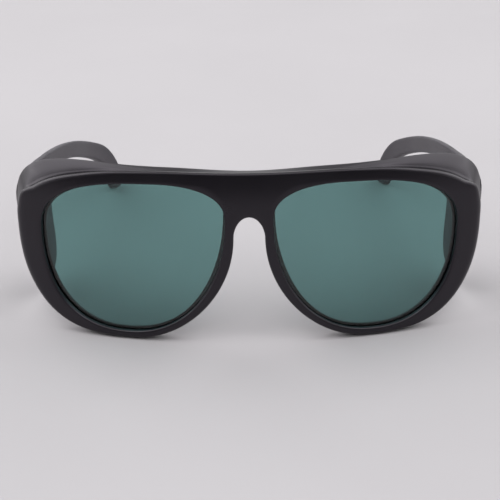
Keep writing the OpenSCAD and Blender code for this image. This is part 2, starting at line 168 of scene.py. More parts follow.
class Bench:
    """The workbench: the few hand operations that every piece is made with."""

    @staticmethod
    def clear() -> None:
        """Leaves object mode on and nothing selected."""
        if bpy.context.mode != "OBJECT":
            bpy.ops.object.mode_set(mode="OBJECT")
        bpy.ops.object.select_all(action="DESELECT")

    @staticmethod
    def pick(obj: bpy.types.Object) -> None:
        """Selects one object alone and makes it active.

        Args:
            obj: The object.
        """
        Bench.clear()
        obj.select_set(True)
        bpy.context.view_layer.objects.active = obj

    @staticmethod
    def newest(name: str) -> bpy.types.Object:
        """Names the object that an operator has just added.

        Args:
            name: Its name.

        Returns:
            The object.
        """
        obj = bpy.context.view_layer.objects.active
        obj.name = obj.data.name = name
        return obj

    @staticmethod
    def ring(name: str, stations: int, profile: int) -> bpy.types.Object:
        """A torus with as many stations round it as a rim has sections.

        Args:
            name: Its name.
            stations: Sections round the ring.
            profile: Points round one section.

        Returns:
            The torus, 2 in its major and 1 in its minor radius.
        """
        Bench.clear()
        bpy.ops.mesh.primitive_torus_add(
            major_segments=stations, minor_segments=profile, major_radius=2, minor_radius=1
        )
        return Bench.newest(name)

    @staticmethod
    def ball(name: str, meridians: int, rings: int) -> bpy.types.Object:
        """A sphere whose rings become the sections of a closed piece.

        Args:
            name: Its name.
            meridians: Points round one section.
            rings: Rings between the two poles.

        Returns:
            The sphere, of radius 1.
        """
        Bench.clear()
        bpy.ops.mesh.primitive_uv_sphere_add(
            segments=meridians, ring_count=rings + 1, radius=1
        )
        return Bench.newest(name)

    @staticmethod
    def press_ring(obj: bpy.types.Object, sections: Sequence[Sequence[Vector]]) -> None:
        """Moves a ring's points to their places in the sections of a rim.

        Args:
            obj: A torus from ring.
            sections: One list of points, in metres, for each station.
        """
        stations, profile = len(sections), len(sections[0])
        for vertex in obj.data.vertices:
            x, y, z = vertex.co
            turn = math.atan2(y, x) / math.tau * stations
            twist = math.atan2(z, math.hypot(x, y) - 2) / math.tau * profile
            vertex.co = sections[round(turn) % stations][round(twist) % profile]
        obj.data.update()

    @staticmethod
    def press_ball(
        obj: bpy.types.Object,
        sections: Sequence[Sequence[Vector]],
        poles: tuple[Vector, Vector],
    ) -> None:
        """Moves a ball's points to their places in a row of sections.

        Args:
            obj: A sphere from ball.
            sections: One list of points, in metres, for each ring.
            poles: The points that close the first and the last section.
        """
        rings, meridians = len(sections), len(sections[0])
        for vertex in obj.data.vertices:
            x, y, z = vertex.co.normalized()
            ring = round(math.acos(max(-1.0, min(1.0, z))) / math.pi * (rings + 1))
            if ring in (0, rings + 1):
                vertex.co = poles[0 if ring == 0 else 1]
                continue
            turn = math.atan2(y, x) / math.tau * meridians
            vertex.co = sections[ring - 1][round(turn) % meridians]
        obj.data.update()

    @staticmethod
    def mark(
        obj: bpy.types.Object, part: Part, chosen: Callable[[list[Vector]], bool]
    ) -> None:
        """Opens edit mode with the edges or faces selected whose corners pass a test.

        Args:
            obj: The piece.
            part: Whether its edges or its faces are picked.
            chosen: Tells from the corners whether one is picked.
        """
        Bench.pick(obj)
        bpy.ops.object.mode_set(mode="EDIT")
        bpy.ops.mesh.select_mode(type=part.value)
        bpy.ops.mesh.select_all(action="DESELECT")
        bpy.ops.object.mode_set(mode="OBJECT")
        points = obj.data.vertices
        for row in obj.data.edges if part is Part.EDGES else obj.data.polygons:
            row.select = chosen([points[i].co for i in row.vertices])
        bpy.ops.object.mode_set(mode="EDIT")

    @staticmethod
    def weld(obj: bpy.types.Object) -> None:
        """Merges the points that lie together and turns all faces outward.

        Args:
            obj: The piece.
        """
        Bench.pick(obj)
        bpy.ops.object.mode_set(mode="EDIT")
        bpy.ops.mesh.select_mode(type="VERT")
        bpy.ops.mesh.select_all(action="SELECT")
        bpy.ops.mesh.remove_doubles(threshold=MERGE)
        bpy.ops.mesh.normals_make_consistent(inside=False)
        bpy.ops.object.mode_set(mode="OBJECT")

    @staticmethod
    def finish_modifier(obj: bpy.types.Object, kind: str, **settings: object) -> None:
        """Adds a modifier, sets it and applies it.

        Args:
            obj: The piece.
            kind: The modifier's type.
            settings: Its settings.
        """
        modifier = obj.modifiers.new(kind.lower(), kind)
        for name, value in settings.items():
            setattr(modifier, name, value)
        Bench.pick(obj)
        bpy.ops.object.modifier_apply(modifier=modifier.name)

    @staticmethod
    def break_edges(obj: bpy.types.Object, width: float, segments: int, angle: float) -> None:
        """Rounds the sharp edges of a piece a little.

        Args:
            obj: The piece.
            width: The rounding's width, in millimetres.
            segments: How many strips it has.
            angle: The least angle of an edge that is rounded, in degrees.
        """
        Bench.finish_modifier(
            obj, "BEVEL", width=width * MM, segments=segments,
            limit_method="ANGLE", angle_limit=math.radians(angle),
        )

    @staticmethod
    def cut(obj: bpy.types.Object, cutters: Iterable[bpy.types.Object]) -> bool:
        """Cuts the shapes of other objects out of a piece, one after the other.

        Args:
            obj: The piece.
            cutters: What is cut out of it.

        Returns:
            Whether each cut left the piece about as many faces as it had. If
            one didn't, the rest aren't made.
        """
        for cutter in cutters:
            faces = len(obj.data.polygons)
            Bench.finish_modifier(
                obj, "BOOLEAN", operation="DIFFERENCE", solver="EXACT", object=cutter
            )
            if len(obj.data.polygons) < CARVE_KEEPS * faces:
                return False
        return True

    @staticmethod
    def carve(obj: bpy.types.Object, cutters: Iterable[bpy.types.Object]) -> None:
        """Cuts the shapes of other objects out of a piece and removes them.

        The solver works on several threads and now and then loses nearly all
        of a piece. The piece is taken back to its uncut mesh then, and all
        its cuts are made again.

        Args:
            obj: The piece.
            cutters: What is cut out of it.
        """
        tools = list(cutters)
        name = obj.data.name
        uncut = obj.data.copy()
        for _ in range(CARVE_TRIES):
            if Bench.cut(obj, tools):
                break
            spoilt = obj.data
            obj.data = uncut.copy()
            bpy.data.meshes.remove(spoilt)
            obj.data.name = name
        bpy.data.meshes.remove(uncut)
        for tool in tools:
            bpy.data.objects.remove(tool)

    @staticmethod
    def block(name: str, low: Sequence[float], high: Sequence[float]) -> bpy.types.Object:
        """A block between two corners.

        Args:
            name: Its name.
            low: The lowest corner, in millimetres.
            high: The highest corner.

        Returns:
            The block, in metres, with its place in its mesh.
        """
        Bench.clear()
        corners = [(a * MM, b * MM) for a, b in zip(low, high)]
        bpy.ops.mesh.primitive_cube_add(
            size=1,
            location=[(a + b) / 2 for a, b in corners],
            scale=[b - a for a, b in corners],
        )
        obj = Bench.newest(name)
        Bench.settle(obj)
        return obj

    @staticmethod
    def rod(
        name: str, radius: float, low: float, high: float, facets: int = 96
    ) -> bpy.types.Object:
        """An upright rod on the origin's axis.

        Args:
            name: Its name.
            radius: Its radius, in millimetres.
            low: The height of its lower end.
            high: The height of its upper end.
            facets: How many sides it has.

        Returns:
            The rod, in metres, with its place in its mesh.
        """
        Bench.clear()
        foot, head = low * MM, high * MM
        bpy.ops.mesh.primitive_cylinder_add(
            vertices=facets,
            radius=radius * MM,
            depth=head - foot,
            location=(0, 0, (foot + head) / 2),
        )
        obj = Bench.newest(name)
        Bench.settle(obj)
        return obj

    @staticmethod
    def settle(obj: bpy.types.Object, place: Matrix | None = None) -> None:
        """Puts a piece in its place and leaves that place in its mesh.

        Args:
            obj: The piece.
            place: Where it goes, or None where it stays as it is.
        """
        Bench.pick(obj)
        if place is not None:
            obj.matrix_world = place @ obj.matrix_world
        bpy.ops.object.transform_apply(location=True, rotation=True, scale=True)
        if place is not None and place.determinant() < 0:
            Bench.weld(obj)

    @staticmethod
    def shade(obj: bpy.types.Object, angle: float = 32) -> None:
        """Smooths a piece but for the edges sharper than an angle.

        Args:
            obj: The piece.
            angle: The sharpest smooth edge, in degrees.
        """
        Bench.pick(obj)
        bpy.ops.object.shade_smooth_by_angle(angle=math.radians(angle))


@dataclass(frozen=True)
class Place:
    """How what is shaped on the wearer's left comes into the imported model's frame.

    Args:
        middle: The y of the model's middle, in millimetres.
    """

    middle: float

    def point(self, p: Sequence[float], side: Side) -> Vector:
        """A point on one of the wearer's sides, in metres.

        Args:
            p: The point on the left, in millimetres.
            side: The side.

        Returns:
            The point in metres.
        """
        return Vector((side.value * p[0], p[1] - self.middle, p[2])) * MM

    def matrix(self, side: Side) -> Matrix:
        """The same as a matrix, for whole pieces in metres.

        Args:
            side: The side.

        Returns:
            The matrix.
        """
        mirror = Matrix.Diagonal((side.value, 1, 1, 1))
        return Matrix.Translation((0, -self.middle * MM, 0)) @ mirror

    def carry(self, pieces: Iterable[bpy.types.Object], side: Side) -> None:
        """Brings whole pieces to one of the wearer's sides.

        Args:
            pieces: The pieces, in metres on the left.
            side: The side.
        """
        for piece in pieces:
            Bench.settle(piece, self.matrix(side))


class Sock:
    """A shader socket that takes part in Python expressions."""

    def __init__(self, book: ShaderBook, link: bpy.types.NodeSocket) -> None:
        """Wraps a node's output.

        Args:
            book: The material's node book.
            link: The output.
        """
        self.book = book
        self.link = link

    def _sum(self, operation: str, first: object, second: object) -> Sock:
        """Adds one Math node.

        Args:
            operation: What the node does.
            first: Its first value.
            second: Its second value.

        Returns:
            Its result.
        """
        return self.book.node(
            "ShaderNodeMath", {"operation": operation}, {0: first, 1: second}
        )

    def __add__(self, other: object) -> Sock:
        """This plus other."""
        return self._sum("ADD", self, other)

    def __radd__(self, other: object) -> Sock:
        """Other plus this."""
        return self._sum("ADD", other, self)

    def __sub__(self, other: object) -> Sock:
        """This less other."""
        return self._sum("SUBTRACT", self, other)

    def __rsub__(self, other: object) -> Sock:
        """Other less this."""
        return self._sum("SUBTRACT", other, self)

    def __mul__(self, other: object) -> Sock:
        """This times other."""
        return self._sum("MULTIPLY", self, other)

    def __rmul__(self, other: object) -> Sock:
        """Other times this."""
        return self._sum("MULTIPLY", other, self)

    def step(self, low: float, high: float) -> Sock:
        """A soft step of this value.

        Args:
            low: Where the step is 0.
            high: Where it is 1.

        Returns:
            The step, held between 0 and 1.
        """
        return self.book.node(
            "ShaderNodeMapRange",
            {"interpolation_type": "SMOOTHSTEP", "clamp": True},
            {"Value": self, "From Min": low, "From Max": high},
        )


class ShaderBook:
    """The nodes of one material."""

    def __init__(self, name: str) -> None:
        """Starts a material with a bare Principled shader.

        Args:
            name: The material's name.
        """
        self.material = bpy.data.materials.new(name)
        self.material.use_nodes = True
        self.tree = self.material.node_tree
        self.tree.nodes.clear()
        output = self.tree.nodes.new("ShaderNodeOutputMaterial")
        self.shader = self.tree.nodes.new("ShaderNodeBsdfPrincipled")
        self.tree.links.new(self.shader.outputs[0], output.inputs["Surface"])
        self.place = self.node("ShaderNodeTexCoord", out="Object")

    def node(
        self,
        kind: str,
        settings: dict[str, object] | None = None,
        inputs: dict[object, object] | None = None,
        out: object = 0,
    ) -> Sock:
        """Adds a node of any kind.

        Args:
            kind: The node's type.
            settings: Its own settings, set before anything else.
            inputs: Values or links for its sockets, by name or number.
            out: The output that is wanted.

        Returns:
            That output.
        """
        node = self.tree.nodes.new(kind)
        for name, value in (settings or {}).items():
            setattr(node, name, value)
        for key, value in (inputs or {}).items():
            self._feed(node.inputs[key], value)
        return Sock(self, node.outputs[out])

    def _feed(self, socket: bpy.types.NodeSocket, value: object) -> None:
        """Gives a socket a value or a link.

        Args:
            socket: The socket.
            value: A number, a colour, a vector or another socket.
        """
        if isinstance(value, Sock):
            self.tree.links.new(value.link, socket)
        elif socket.type == "RGBA" and len(value) == 3:
            socket.default_value = (*value, 1)
        else:
            socket.default_value = value

    def set(self, **values: object) -> None:
        """Sets or feeds the shader's sockets.

        Args:
            values: The sockets' names, with underscores for spaces, and what they get.
        """
        for name, value in values.items():
            self._feed(self.shader.inputs[name.replace("_", " ")], value)

    def noise(self, scale: float, detail: float, stretch: Triple = (1, 1, 1)) -> Sock:
        """A noise over the piece.

        Args:
            scale: Its grains in a metre.
            detail: How many finer layers it has.
            stretch: Its scale along each axis.

        Returns:
            The noise, about 0.5 in the middle.
        """
        vector = self.node(
            "ShaderNodeMapping", inputs={"Vector": self.place, "Scale": stretch}
        )
        return self.node(
            "ShaderNodeTexNoise", inputs={"Vector": vector, "Scale": scale, "Detail": detail}
        )

    def mix(self, amount: object, first: Triple, second: Triple) -> Sock:
        """A blend of two colours.

        Args:
            amount: The share of the second.
            first: The first colour.
            second: The second colour.

        Returns:
            The blend.
        """
        return self.node(
            "ShaderNodeMix", {"data_type": "RGBA"}, {0: amount, 6: first, 7: second}, out=2
        )

    def bump(self, height: Sock, depth: float) -> Sock:
        """A relief from a height.

        Args:
            height: The height, from 0 to 1.
            depth: What a height of 1 measures, in metres.

        Returns:
            The surface's normal.
        """
        return self.node("ShaderNodeBump", inputs={"Height": height, "Distance": depth})


@dataclass(frozen=True)
class MouldedPlastic:
    """Black moulded nylon with a fine grain and a satin sheen.

    Args:
        name: The material's name.
        dark: Its colour.
        pale: Its colour where it is rubbed or dusty.
        clouds: The rubbed patches in a metre.
        cloud_edges: The noise at which a patch begins and is whole.
        cloud_share: How pale a patch is.
        specks: The dust specks in a metre.
        speck_edges: The noise at which a speck begins and is whole.
        speck_share: How pale a speck is.
        dust: How much lower that noise is, so that more specks show.
        grain: Grains in a metre.
        depth: How deep the grain is, in metres.
        gloss: Its roughness.
        cloud_gloss: How much the patches change the roughness.
        grain_gloss: How much the grain changes it.
        sheen: How strongly it reflects.
        tint: The colour of its reflections.
    """

    name: str
    dark: Triple = (0.0025, 0.002, 0.0035)
    pale: Triple = (0.005, 0.0045, 0.006)
    clouds: float = 45
    cloud_edges: Pair = (0.35, 0.75)
    cloud_share: float = 0.7
    specks: float = 1500
    speck_edges: Pair = (0.72, 0.80)
    speck_share: float = 0.8
    dust: float = 0.0
    grain: float = 2600
    depth: float = 0.00001
    gloss: float = 0.31
    cloud_gloss: float = 0.12
    grain_gloss: float = 0.10
    sheen: float = 0.48
    tint: Triple = (0.97, 0.9, 1.0)

    def make(self) -> bpy.types.Material:
        """Builds the material.

        Returns:
            The material.
        """
        book = ShaderBook(self.name)
        clouds = book.noise(self.clouds, 3)
        grain = book.noise(self.grain, 3)
        specks = book.noise(self.specks, 1)
        speck_from, speck_to = (edge - self.dust for edge in self.speck_edges)
        rubbed = clouds.step(*self.cloud_edges) * self.cloud_share
        dusty = specks.step(speck_from, speck_to) * self.speck_share
        by_cloud = (clouds - NOISE_MIDDLE) * self.cloud_gloss
        by_grain = (grain - NOISE_MIDDLE) * self.grain_gloss
        book.set(
            Base_Color=book.mix(rubbed + dusty, self.dark, self.pale),
            Roughness=self.gloss + by_cloud + by_grain,
            Normal=book.bump(grain, self.depth),
            Specular_IOR_Level=self.sheen,
            Specular_Tint=self.tint,
        )
        return book.material


@dataclass(frozen=True)
class FilterGlass:
    """Polished green filter glass with faint smears.

    Args:
        name: The material's name.
        tint: Its colour by transmitted light.
        deeper: The share of that colour under the smears.
        haze: Its roughness where it is clean.
        smears: The smears in a metre.
        smear_run: Their scale along each axis.
        smear_edges: The noise at which the colour deepens and is deepest.
        smear_haze: How much rougher the thickest smears are.
        haze_edges: The noise at which the haze begins and is whole.
        index: Its index of refraction.
    """

    name: str
    tint: Triple = (0.14, 0.295, 0.285)
    deeper: float = 0.93
    haze: float = 0.01
    smears: float = 26
    smear_run: Triple = (1, 1, 0.5)
    smear_edges: Pair = (0.3, 0.7)
    smear_haze: float = 0.02
    haze_edges: Pair = (0.5, 0.8)
    index: float = 1.5

    def make(self) -> bpy.types.Material:
        """Builds the material.

        Returns:
            The material.
        """
        book = ShaderBook(self.name)
        smears = book.noise(self.smears, 4, self.smear_run)
        deep = tuple(self.deeper * c for c in self.tint)
        book.set(
            Base_Color=book.mix(smears.step(*self.smear_edges), self.tint, deep),
            Roughness=self.haze + smears.step(*self.haze_edges) * self.smear_haze,
            Transmission_Weight=1.0,
            IOR=self.index,
        )
        return book.material


@dataclass(frozen=True)
class BrushedSteel:
    """Nickel silver brushed or turned along one axis.

    Args:
        name: The material's name.
        bright: Its colour.
        worn: Its colour in the brush lines.
        brush: The brush lines in a metre, before their scale along each axis.
        lines: Their scale along each axis.
        line_edges: The noise at which a line begins and is whole.
        polish: Its roughness between the lines.
        line_gloss: How much rougher the lines are.
        depth: How deep the lines are, in metres.
    """

    name: str
    bright: Triple = (0.60, 0.60, 0.62)
    worn: Triple = (0.42, 0.42, 0.44)
    brush: float = 900
    lines: Triple = (1, 1, 12)
    line_edges: Pair = (0.35, 0.7)
    polish: float = 0.24
    line_gloss: float = 0.16
    depth: float = 0.000006

    def make(self) -> bpy.types.Material:
        """Builds the material.

        Returns:
            The material.
        """
        book = ShaderBook(self.name)
        brush = book.noise(self.brush, 3, self.lines)
        book.set(
            Base_Color=book.mix(brush.step(*self.line_edges), self.bright, self.worn),
            Roughness=self.polish + brush * self.line_gloss,
            Metallic=1.0,
            Normal=book.bump(brush, self.depth),
        )
        return book.material


@dataclass(frozen=True)
class PaleCard:
    """The pale card of the table, with faint fibres.

    Args:
        name: The material's name.
        colour: Its colour.
        darker: The share of that colour in the fibres.
        fibres: The fibres in a metre.
        fibre_edges: The noise at which a fibre begins and is whole.
        gloss: Its roughness.
        sheen: How strongly it reflects.
    """

    name: str
    colour: Triple = (0.395, 0.381, 0.395)
    darker: float = 0.975
    fibres: float = 9
    fibre_edges: Pair = (0.3, 0.7)
    gloss: float = 0.9
    sheen: float = 0.1

    def make(self) -> bpy.types.Material:
        """Builds the material.

        Returns:
            The material.
        """
        book = ShaderBook(self.name)
        fibres = book.noise(self.fibres, 4)
        dark = tuple(self.darker * c for c in self.colour)
        book.set(
            Base_Color=book.mix(fibres.step(*self.fibre_edges), self.colour, dark),
            Roughness=self.gloss,
            Specular_IOR_Level=self.sheen,
        )
        return book.material


@dataclass
class Front:
    """The one-piece front: brow, bridge, rims and hood.

    Sizes are in millimetres, and angles in degrees round a lens opening, from the
    temple side over the brow and the nose to the foot. A span is the angles where
    something begins, is whole, begins to fade and is gone.

    Args:
        lens_w: Width of a lens opening, along the curve.
        lens_h: Height of a lens opening.
        bridge_w: Distance between the openings.
        wrap_r: Radius of the front's wrap.
        lean: Angle by which it leans back.
        rim_top: Width of the rim at the brow.
        rim_bottom: Width of the rim at the foot.
        rim_side: Width of the rim at the temple side.
        rim_nose: Width of the rim at the nose.
        rim_depth: Depth of the rim from its face to its rear.
        lip_t: Thickness of the lip in front of the lens.
        groove_d: Depth of the groove round the lens.
        flange_w: How far the rim behind the lens stands into the opening at the nose.
        flange_low: How far it does elsewhere.
        flange_span: Where the rim behind the lens is wide.
        bridge_h: Height of the bridge, from the brow to the arch.
        edge_r: Rounding of the outer edge.
        side_r: Rounding of the outer edge at the temple side.
        side_span: Where the edge has that rounding.
        hood_y: How far back the hood ends.
        hood_span: Where the wall is drawn back into the hood.
        wall_t: Thickness of the walls.
        side_flare: How far the hood spreads at the sides.
        corner_flare: How far it spreads at its corners.
        corner_at: The corner's angle.
        corner_reach: How far the corner reaches down and up from there.
        brow_flare: How far it spreads over the brow.
        brow_span: Where it does, up to the bridge.
        crease_d: Depth of the crease under the hood.
        crease_span: Where the crease runs.
        bead_gain: How much of the crease's depth goes to the rounding of its bead.
        brow_dip: How far the brow's line sinks in the middle.
        roll_d: How far the face rolls back at the brow's line.
        roll_h: The height over which it does.
        roll_fade: The depth past the edge's rounding at which that has faded.
        lens_t: Thickness of the lens.
        lens_gap: Clearance round the lens.
        stations: Sections round one opening.
        bridge_from: Where the middle of the bridge begins.
        arch_from: Where the arch begins.
        arch_rise: The share of the whole height that sets where the arch's sides end.
        arch_drop: How far below that they do.
        open_places: Where the opening's extremes lie: top and foot across, nose and
            temple up, as shares of its width and height.
        open_power: How square the opening's quarters are.
        out_places: The same for the outline: top and foot across, as shares of the
            opening's width, and temple up, as a share of the whole height.
        out_power: How square the outline's quarters are.
        foot_round: How far before the rim's rear its foot begins to round.
        foot_lift: How far the whole front is lifted to stand on its feet.
    """

    lens_w: float = 63.4
    lens_h: float = 53.2
    bridge_w: float = 16.2
    wrap_r: float = 240.0
    lean: float = 8.0
    rim_top: float = 4.5
    rim_bottom: float = 2.6
    rim_side: float = 9.8
    rim_nose: float = 2.8
    rim_depth: float = 4.8
    lip_t: float = 1.4
    groove_d: float = 1.3
    flange_w: float = 1.5
    flange_low: float = 0.6
    flange_span: Span = (120, 170, 200, 250)
    bridge_h: float = 15.6
    edge_r: float = 0.9
    side_r: float = 3.2
    side_span: Span = (-70, -25, 8, 32)
    hood_y: float = 28.5
    hood_span: Span = (-58, -15, 18, 94)
    wall_t: float = 2.2
    side_flare: float = 0.5
    corner_flare: float = 3.1
    corner_at: float = 42
    corner_reach: Pair = (36, 58)
    brow_flare: float = 0.8
    brow_span: Triple = (55, 88, 100)
    crease_d: float = 1.3
    crease_span: Span = (24, 38, 66, 104)
    bead_gain: float = 0.35
    brow_dip: float = 0.6
    roll_d: float = 1.1
    roll_h: float = 12.5
    roll_fade: float = 1.2
    lens_t: float = 2.0
    lens_gap: float = 0.12
    stations: int = 144
    bridge_from: float = 120.0
    arch_from: float = 155.0
    arch_rise: float = 0.965
    arch_drop: float = 21.5
    open_places: Span = (0.395, 0.52, 0.77, 0.645)
    open_power: Span = (2.65, 2.4, 2.1, 2.35)
    out_places: Triple = (0.505, 0.5, 0.68)
    out_power: Span = (2.52, 3, 1.9, 2.61)
    foot_round: float = 0.6
    foot_lift: float = field(init=False, default=0.0)

    def __post_init__(self) -> None:
        """Works out the extremes of the openings and of the outline."""
        self.open_nose = self.bridge_w / 2
        self.open_side = self.open_nose + self.lens_w
        self.open_low = self.rim_bottom
        self.open_top = self.open_low + self.lens_h
        self.out_nose = self.open_nose - self.rim_nose
        self.out_side = self.open_side + self.rim_side
        self.out_top = self.open_top + self.rim_top
        self.arch_v = self.out_top - self.bridge_h
        self.out_nose_v = self.arch_rise * self.out_top - self.arch_drop
        self.groove_back = self.lip_t + self.lens_t + 2 * self.lens_gap
        foot_w = self.rim_depth - self.foot_round
        feet = [self.bend(self.outline(a)[0], foot_w).z for a in range(240, 321, 5)]
        self.foot_lift = -min(feet)

    @staticmethod
    def quarter(
        centre: Sequence[float], reach: Sequence[float], power: float, a: float
    ) -> tuple[Vector, Vector]:
        """A point on a quarter of a rounded outline.

        Args:
            centre: The quarter's middle.
            reach: Its signed reach each way.
            power: How square it is.
            a: The angle.

        Returns:
            The point and the inward normal there.
        """
        c, s = abs(math.cos(math.radians(a))), abs(math.sin(math.radians(a)))
        x, y = c ** (2 / power), s ** (2 / power)
        normal = Vector(
            (
                -math.copysign(x ** (power - 1) / abs(reach[0]), reach[0]),
                -math.copysign(y ** (power - 1) / abs(reach[1]), reach[1]),
            )
        )
        point = Vector((centre[0] + reach[0] * x, centre[1] + reach[1] * y))
        return point, normal.normalized()

    @staticmethod
    def loop(
        ext: Sequence[float], places: Sequence[float], power: Sequence[float], a: float
    ) -> tuple[Vector, Vector]:
        """A point on a closed outline of four quarters.

        Args:
            ext: The extremes: nose, temple, foot and top.
            places: Where they lie along the other direction: top, foot, nose, temple.
            power: How square the quarters are.
            a: The angle.

        Returns:
            The point and the inward normal there.
        """
        index = 0 if a <= 90 else 1 if a <= 180 else 2 if a <= 270 else 3
        u = places[0] if index in (0, 1) else places[1]
        v = places[2] if index in (1, 2) else places[3]
        reach = (
            ext[1] - u if index in (0, 3) else ext[0] - u,
            ext[3] - v if index in (0, 1) else ext[2] - v,
        )
        return Front.quarter((u, v), reach, power[index], a)

    def opening(self, a: float) -> Vector:
        """A point on the lens opening's edge.

        Args:
            a: The angle.

        Returns:
            The point on the unrolled front.
        """
        ext = (self.open_nose, self.open_side, self.open_low, self.open_top)
        top, foot, nose, temple = self.open_places
        places = (
            self.open_nose + top * self.lens_w,
            self.open_nose + foot * self.lens_w,
            self.open_low + nose * self.lens_h,
            self.open_low + temple * self.lens_h,
        )
        return self.loop(ext, places, self.open_power, a)[0]

    def outline(self, a: float) -> tuple[Vector, Vector]:
        """A point on the front's outline: brow, middle of the bridge, arch, then the rim.

        Args:
            a: The angle.

        Returns:
            The point and the normal into the plastic, or none in the middle.
        """
        top, foot, temple = self.out_places
        crown = self.open_nose + top * self.lens_w
        if 90 < a <= self.bridge_from:
            t = (self.bridge_from - a) / (self.bridge_from - 90)
            dip = self.brow_dip * (1 - smooth(0, 1, t))
            return Vector((crown * t, self.out_top - dip)), Vector((0, -1))
        if self.bridge_from < a < self.arch_from:
            t = (a - self.bridge_from) / (self.arch_from - self.bridge_from)
            high = self.out_top - self.brow_dip - self.edge_r
            low = self.arch_v + self.edge_r
            return Vector((0, high + (low - high) * t)), Vector((0, 0))
        if self.arch_from <= a <= 180:
            t = 90 * (1 - (a - self.arch_from) / (180 - self.arch_from))
            reach = (self.out_nose, self.arch_v - self.out_nose_v)
            point, normal = self.quarter((0, self.out_nose_v), reach, 2, t)
            return point, -normal
        low_u = self.open_nose + foot * self.lens_w
        places = (crown, low_u, self.out_nose_v, temple * self.out_top)
        ext = (self.out_nose, self.out_side, 0, self.out_top)
        return self.loop(ext, places, self.out_power, a)

    def bend(self, p: Sequence[float], w: float) -> Vector:
        """Bends a point of the unrolled front round the face and leans it back.

        Args:
            p: The point on the unrolled front.
            w: Its depth behind the front's face.

        Returns:
            The point in space.
        """
        turned = p[0] / self.wrap_r
        lean = math.radians(self.lean)
        depth = self.wrap_r - (self.wrap_r - w) * math.cos(turned)
        return Vector(
            (
                (self.wrap_r - w) * math.sin(turned),
                depth * math.cos(lean) + p[1] * math.sin(lean),
                p[1] * math.cos(lean) - depth * math.sin(lean),
            )
        )

    def wrap(self, p: Sequence[float], w: float) -> Vector:
        """The same, lifted so that the rims' feet touch the table."""
        return self.bend(p, w) + Vector((0, 0, self.foot_lift))

    @staticmethod
    def turned(a: float) -> float:
        """An angle between -180 and 180 degrees."""
        return a - 360 if a > 180 else a

    def hood_share(self, a: float) -> float:
        """How much of the hood a station has."""
        return swell(self.hood_span, self.turned(a))

    def flare(self, a: float) -> float:
        """How far the wall's rear edge spreads outward.

        Args:
            a: The station's angle.

        Returns:
            The distance.
        """
        t = self.turned(a)
        past = t - self.corner_at
        reach = self.corner_reach[0 if past < 0 else 1]
        corner = math.cos(math.radians(90 * past / reach)) ** 2 if abs(past) < reach else 0
        brow = swell((*self.brow_span, self.bridge_from), t)
        return (
            self.side_flare * self.hood_share(a)
            + self.corner_flare * corner
            + self.brow_flare * brow
        )

    def edge_round(self, a: float) -> float:
        """The rounding of the front's outer edge at a station."""
        share = swell(self.side_span, self.turned(a))
        return self.edge_r + (self.side_r - self.edge_r) * share

    def crease(self, a: float) -> float:
        """The depth of the crease under the hood at a station."""
        return self.crease_d * swell(self.crease_span, self.turned(a))

    def flange(self, a: float) -> float:
        """How far the rim behind the lens stands inside the opening at a station."""
        share = swell(self.flange_span, a)
        return self.flange_low + (self.flange_w - self.flange_low) * share

    def roll(self, p: Sequence[float]) -> float:
        """How far the face rolls back towards the brow at a point of the unrolled front."""
        return self.roll_d * max(0.0, 1 - (self.out_top - p[1]) / self.roll_h) ** 2

    def on_face(self, p: Sequence[float], w: float = 0.0) -> Vector:
        """A point of the face or of the roundings beside it, rolled back towards the brow.

        Args:
            p: The point on the unrolled front.
            w: Its depth below the face.

        Returns:
            The point in space.
        """
        fading = max(0.0, 1 - w / (self.edge_r + self.roll_fade))
        return self.wrap(p, w + self.roll(p) * fading)

    def wall_end(self, a: float, inset: float) -> Vector:
        """Where the outer wall of a station ends.

        Args:
            a: The station's angle.
            inset: How far in from the outline.

        Returns:
            The point.
        """
        outer, normal = self.outline(a)
        p = outer + normal * inset
        front, rim = self.wrap(p, 0), self.wrap(p, self.rim_depth)
        share = self.hood_share(a)
        back = Vector((front.x, self.hood_y, front.z))
        spread = Vector((normal.x, 0, normal.y)) * self.flare(a)
        return rim * (1 - share) + back * share - spread

    def angles(self) -> list[float]:
        """The stations' angles."""
        return [i * (360 / self.stations) for i in range(self.stations)]

    def front_y(self) -> float:
        """The y of the front's foremost point, in millimetres."""
        return min(p.y for a in self.angles() for p in Station(self, a).face())

    def build(
        self, place: Place, cutters: Callable[[Side], list[bpy.types.Object]]
    ) -> bpy.types.Object:
        """Builds the front.

        Args:
            place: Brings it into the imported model's frame.
            cutters: Gives the hinge's pockets on a side.

        Returns:
            The front.
        """
        sections = [
            [place.point(p, Side.LEFT) for p in Station(self, a).section()]
            for a in self.angles()
        ]
        front = Bench.ring("front", self.stations, len(sections[0]))
        Bench.press_ring(front, sections)
        Bench.mark(
            front, Part.FACES, lambda corners: all(abs(c.x) < MERGE for c in corners)
        )
        bpy.ops.mesh.delete(type="FACE")
        bpy.ops.object.mode_set(mode="OBJECT")
        Bench.finish_modifier(
            front, "MIRROR", use_axis=(True, False, False),
            use_mirror_merge=True, merge_threshold=2 * MERGE,
        )
        Bench.weld(front)
        for side in Side:
            Bench.carve(front, cutters(side))
        Bench.shade(front)
        return front


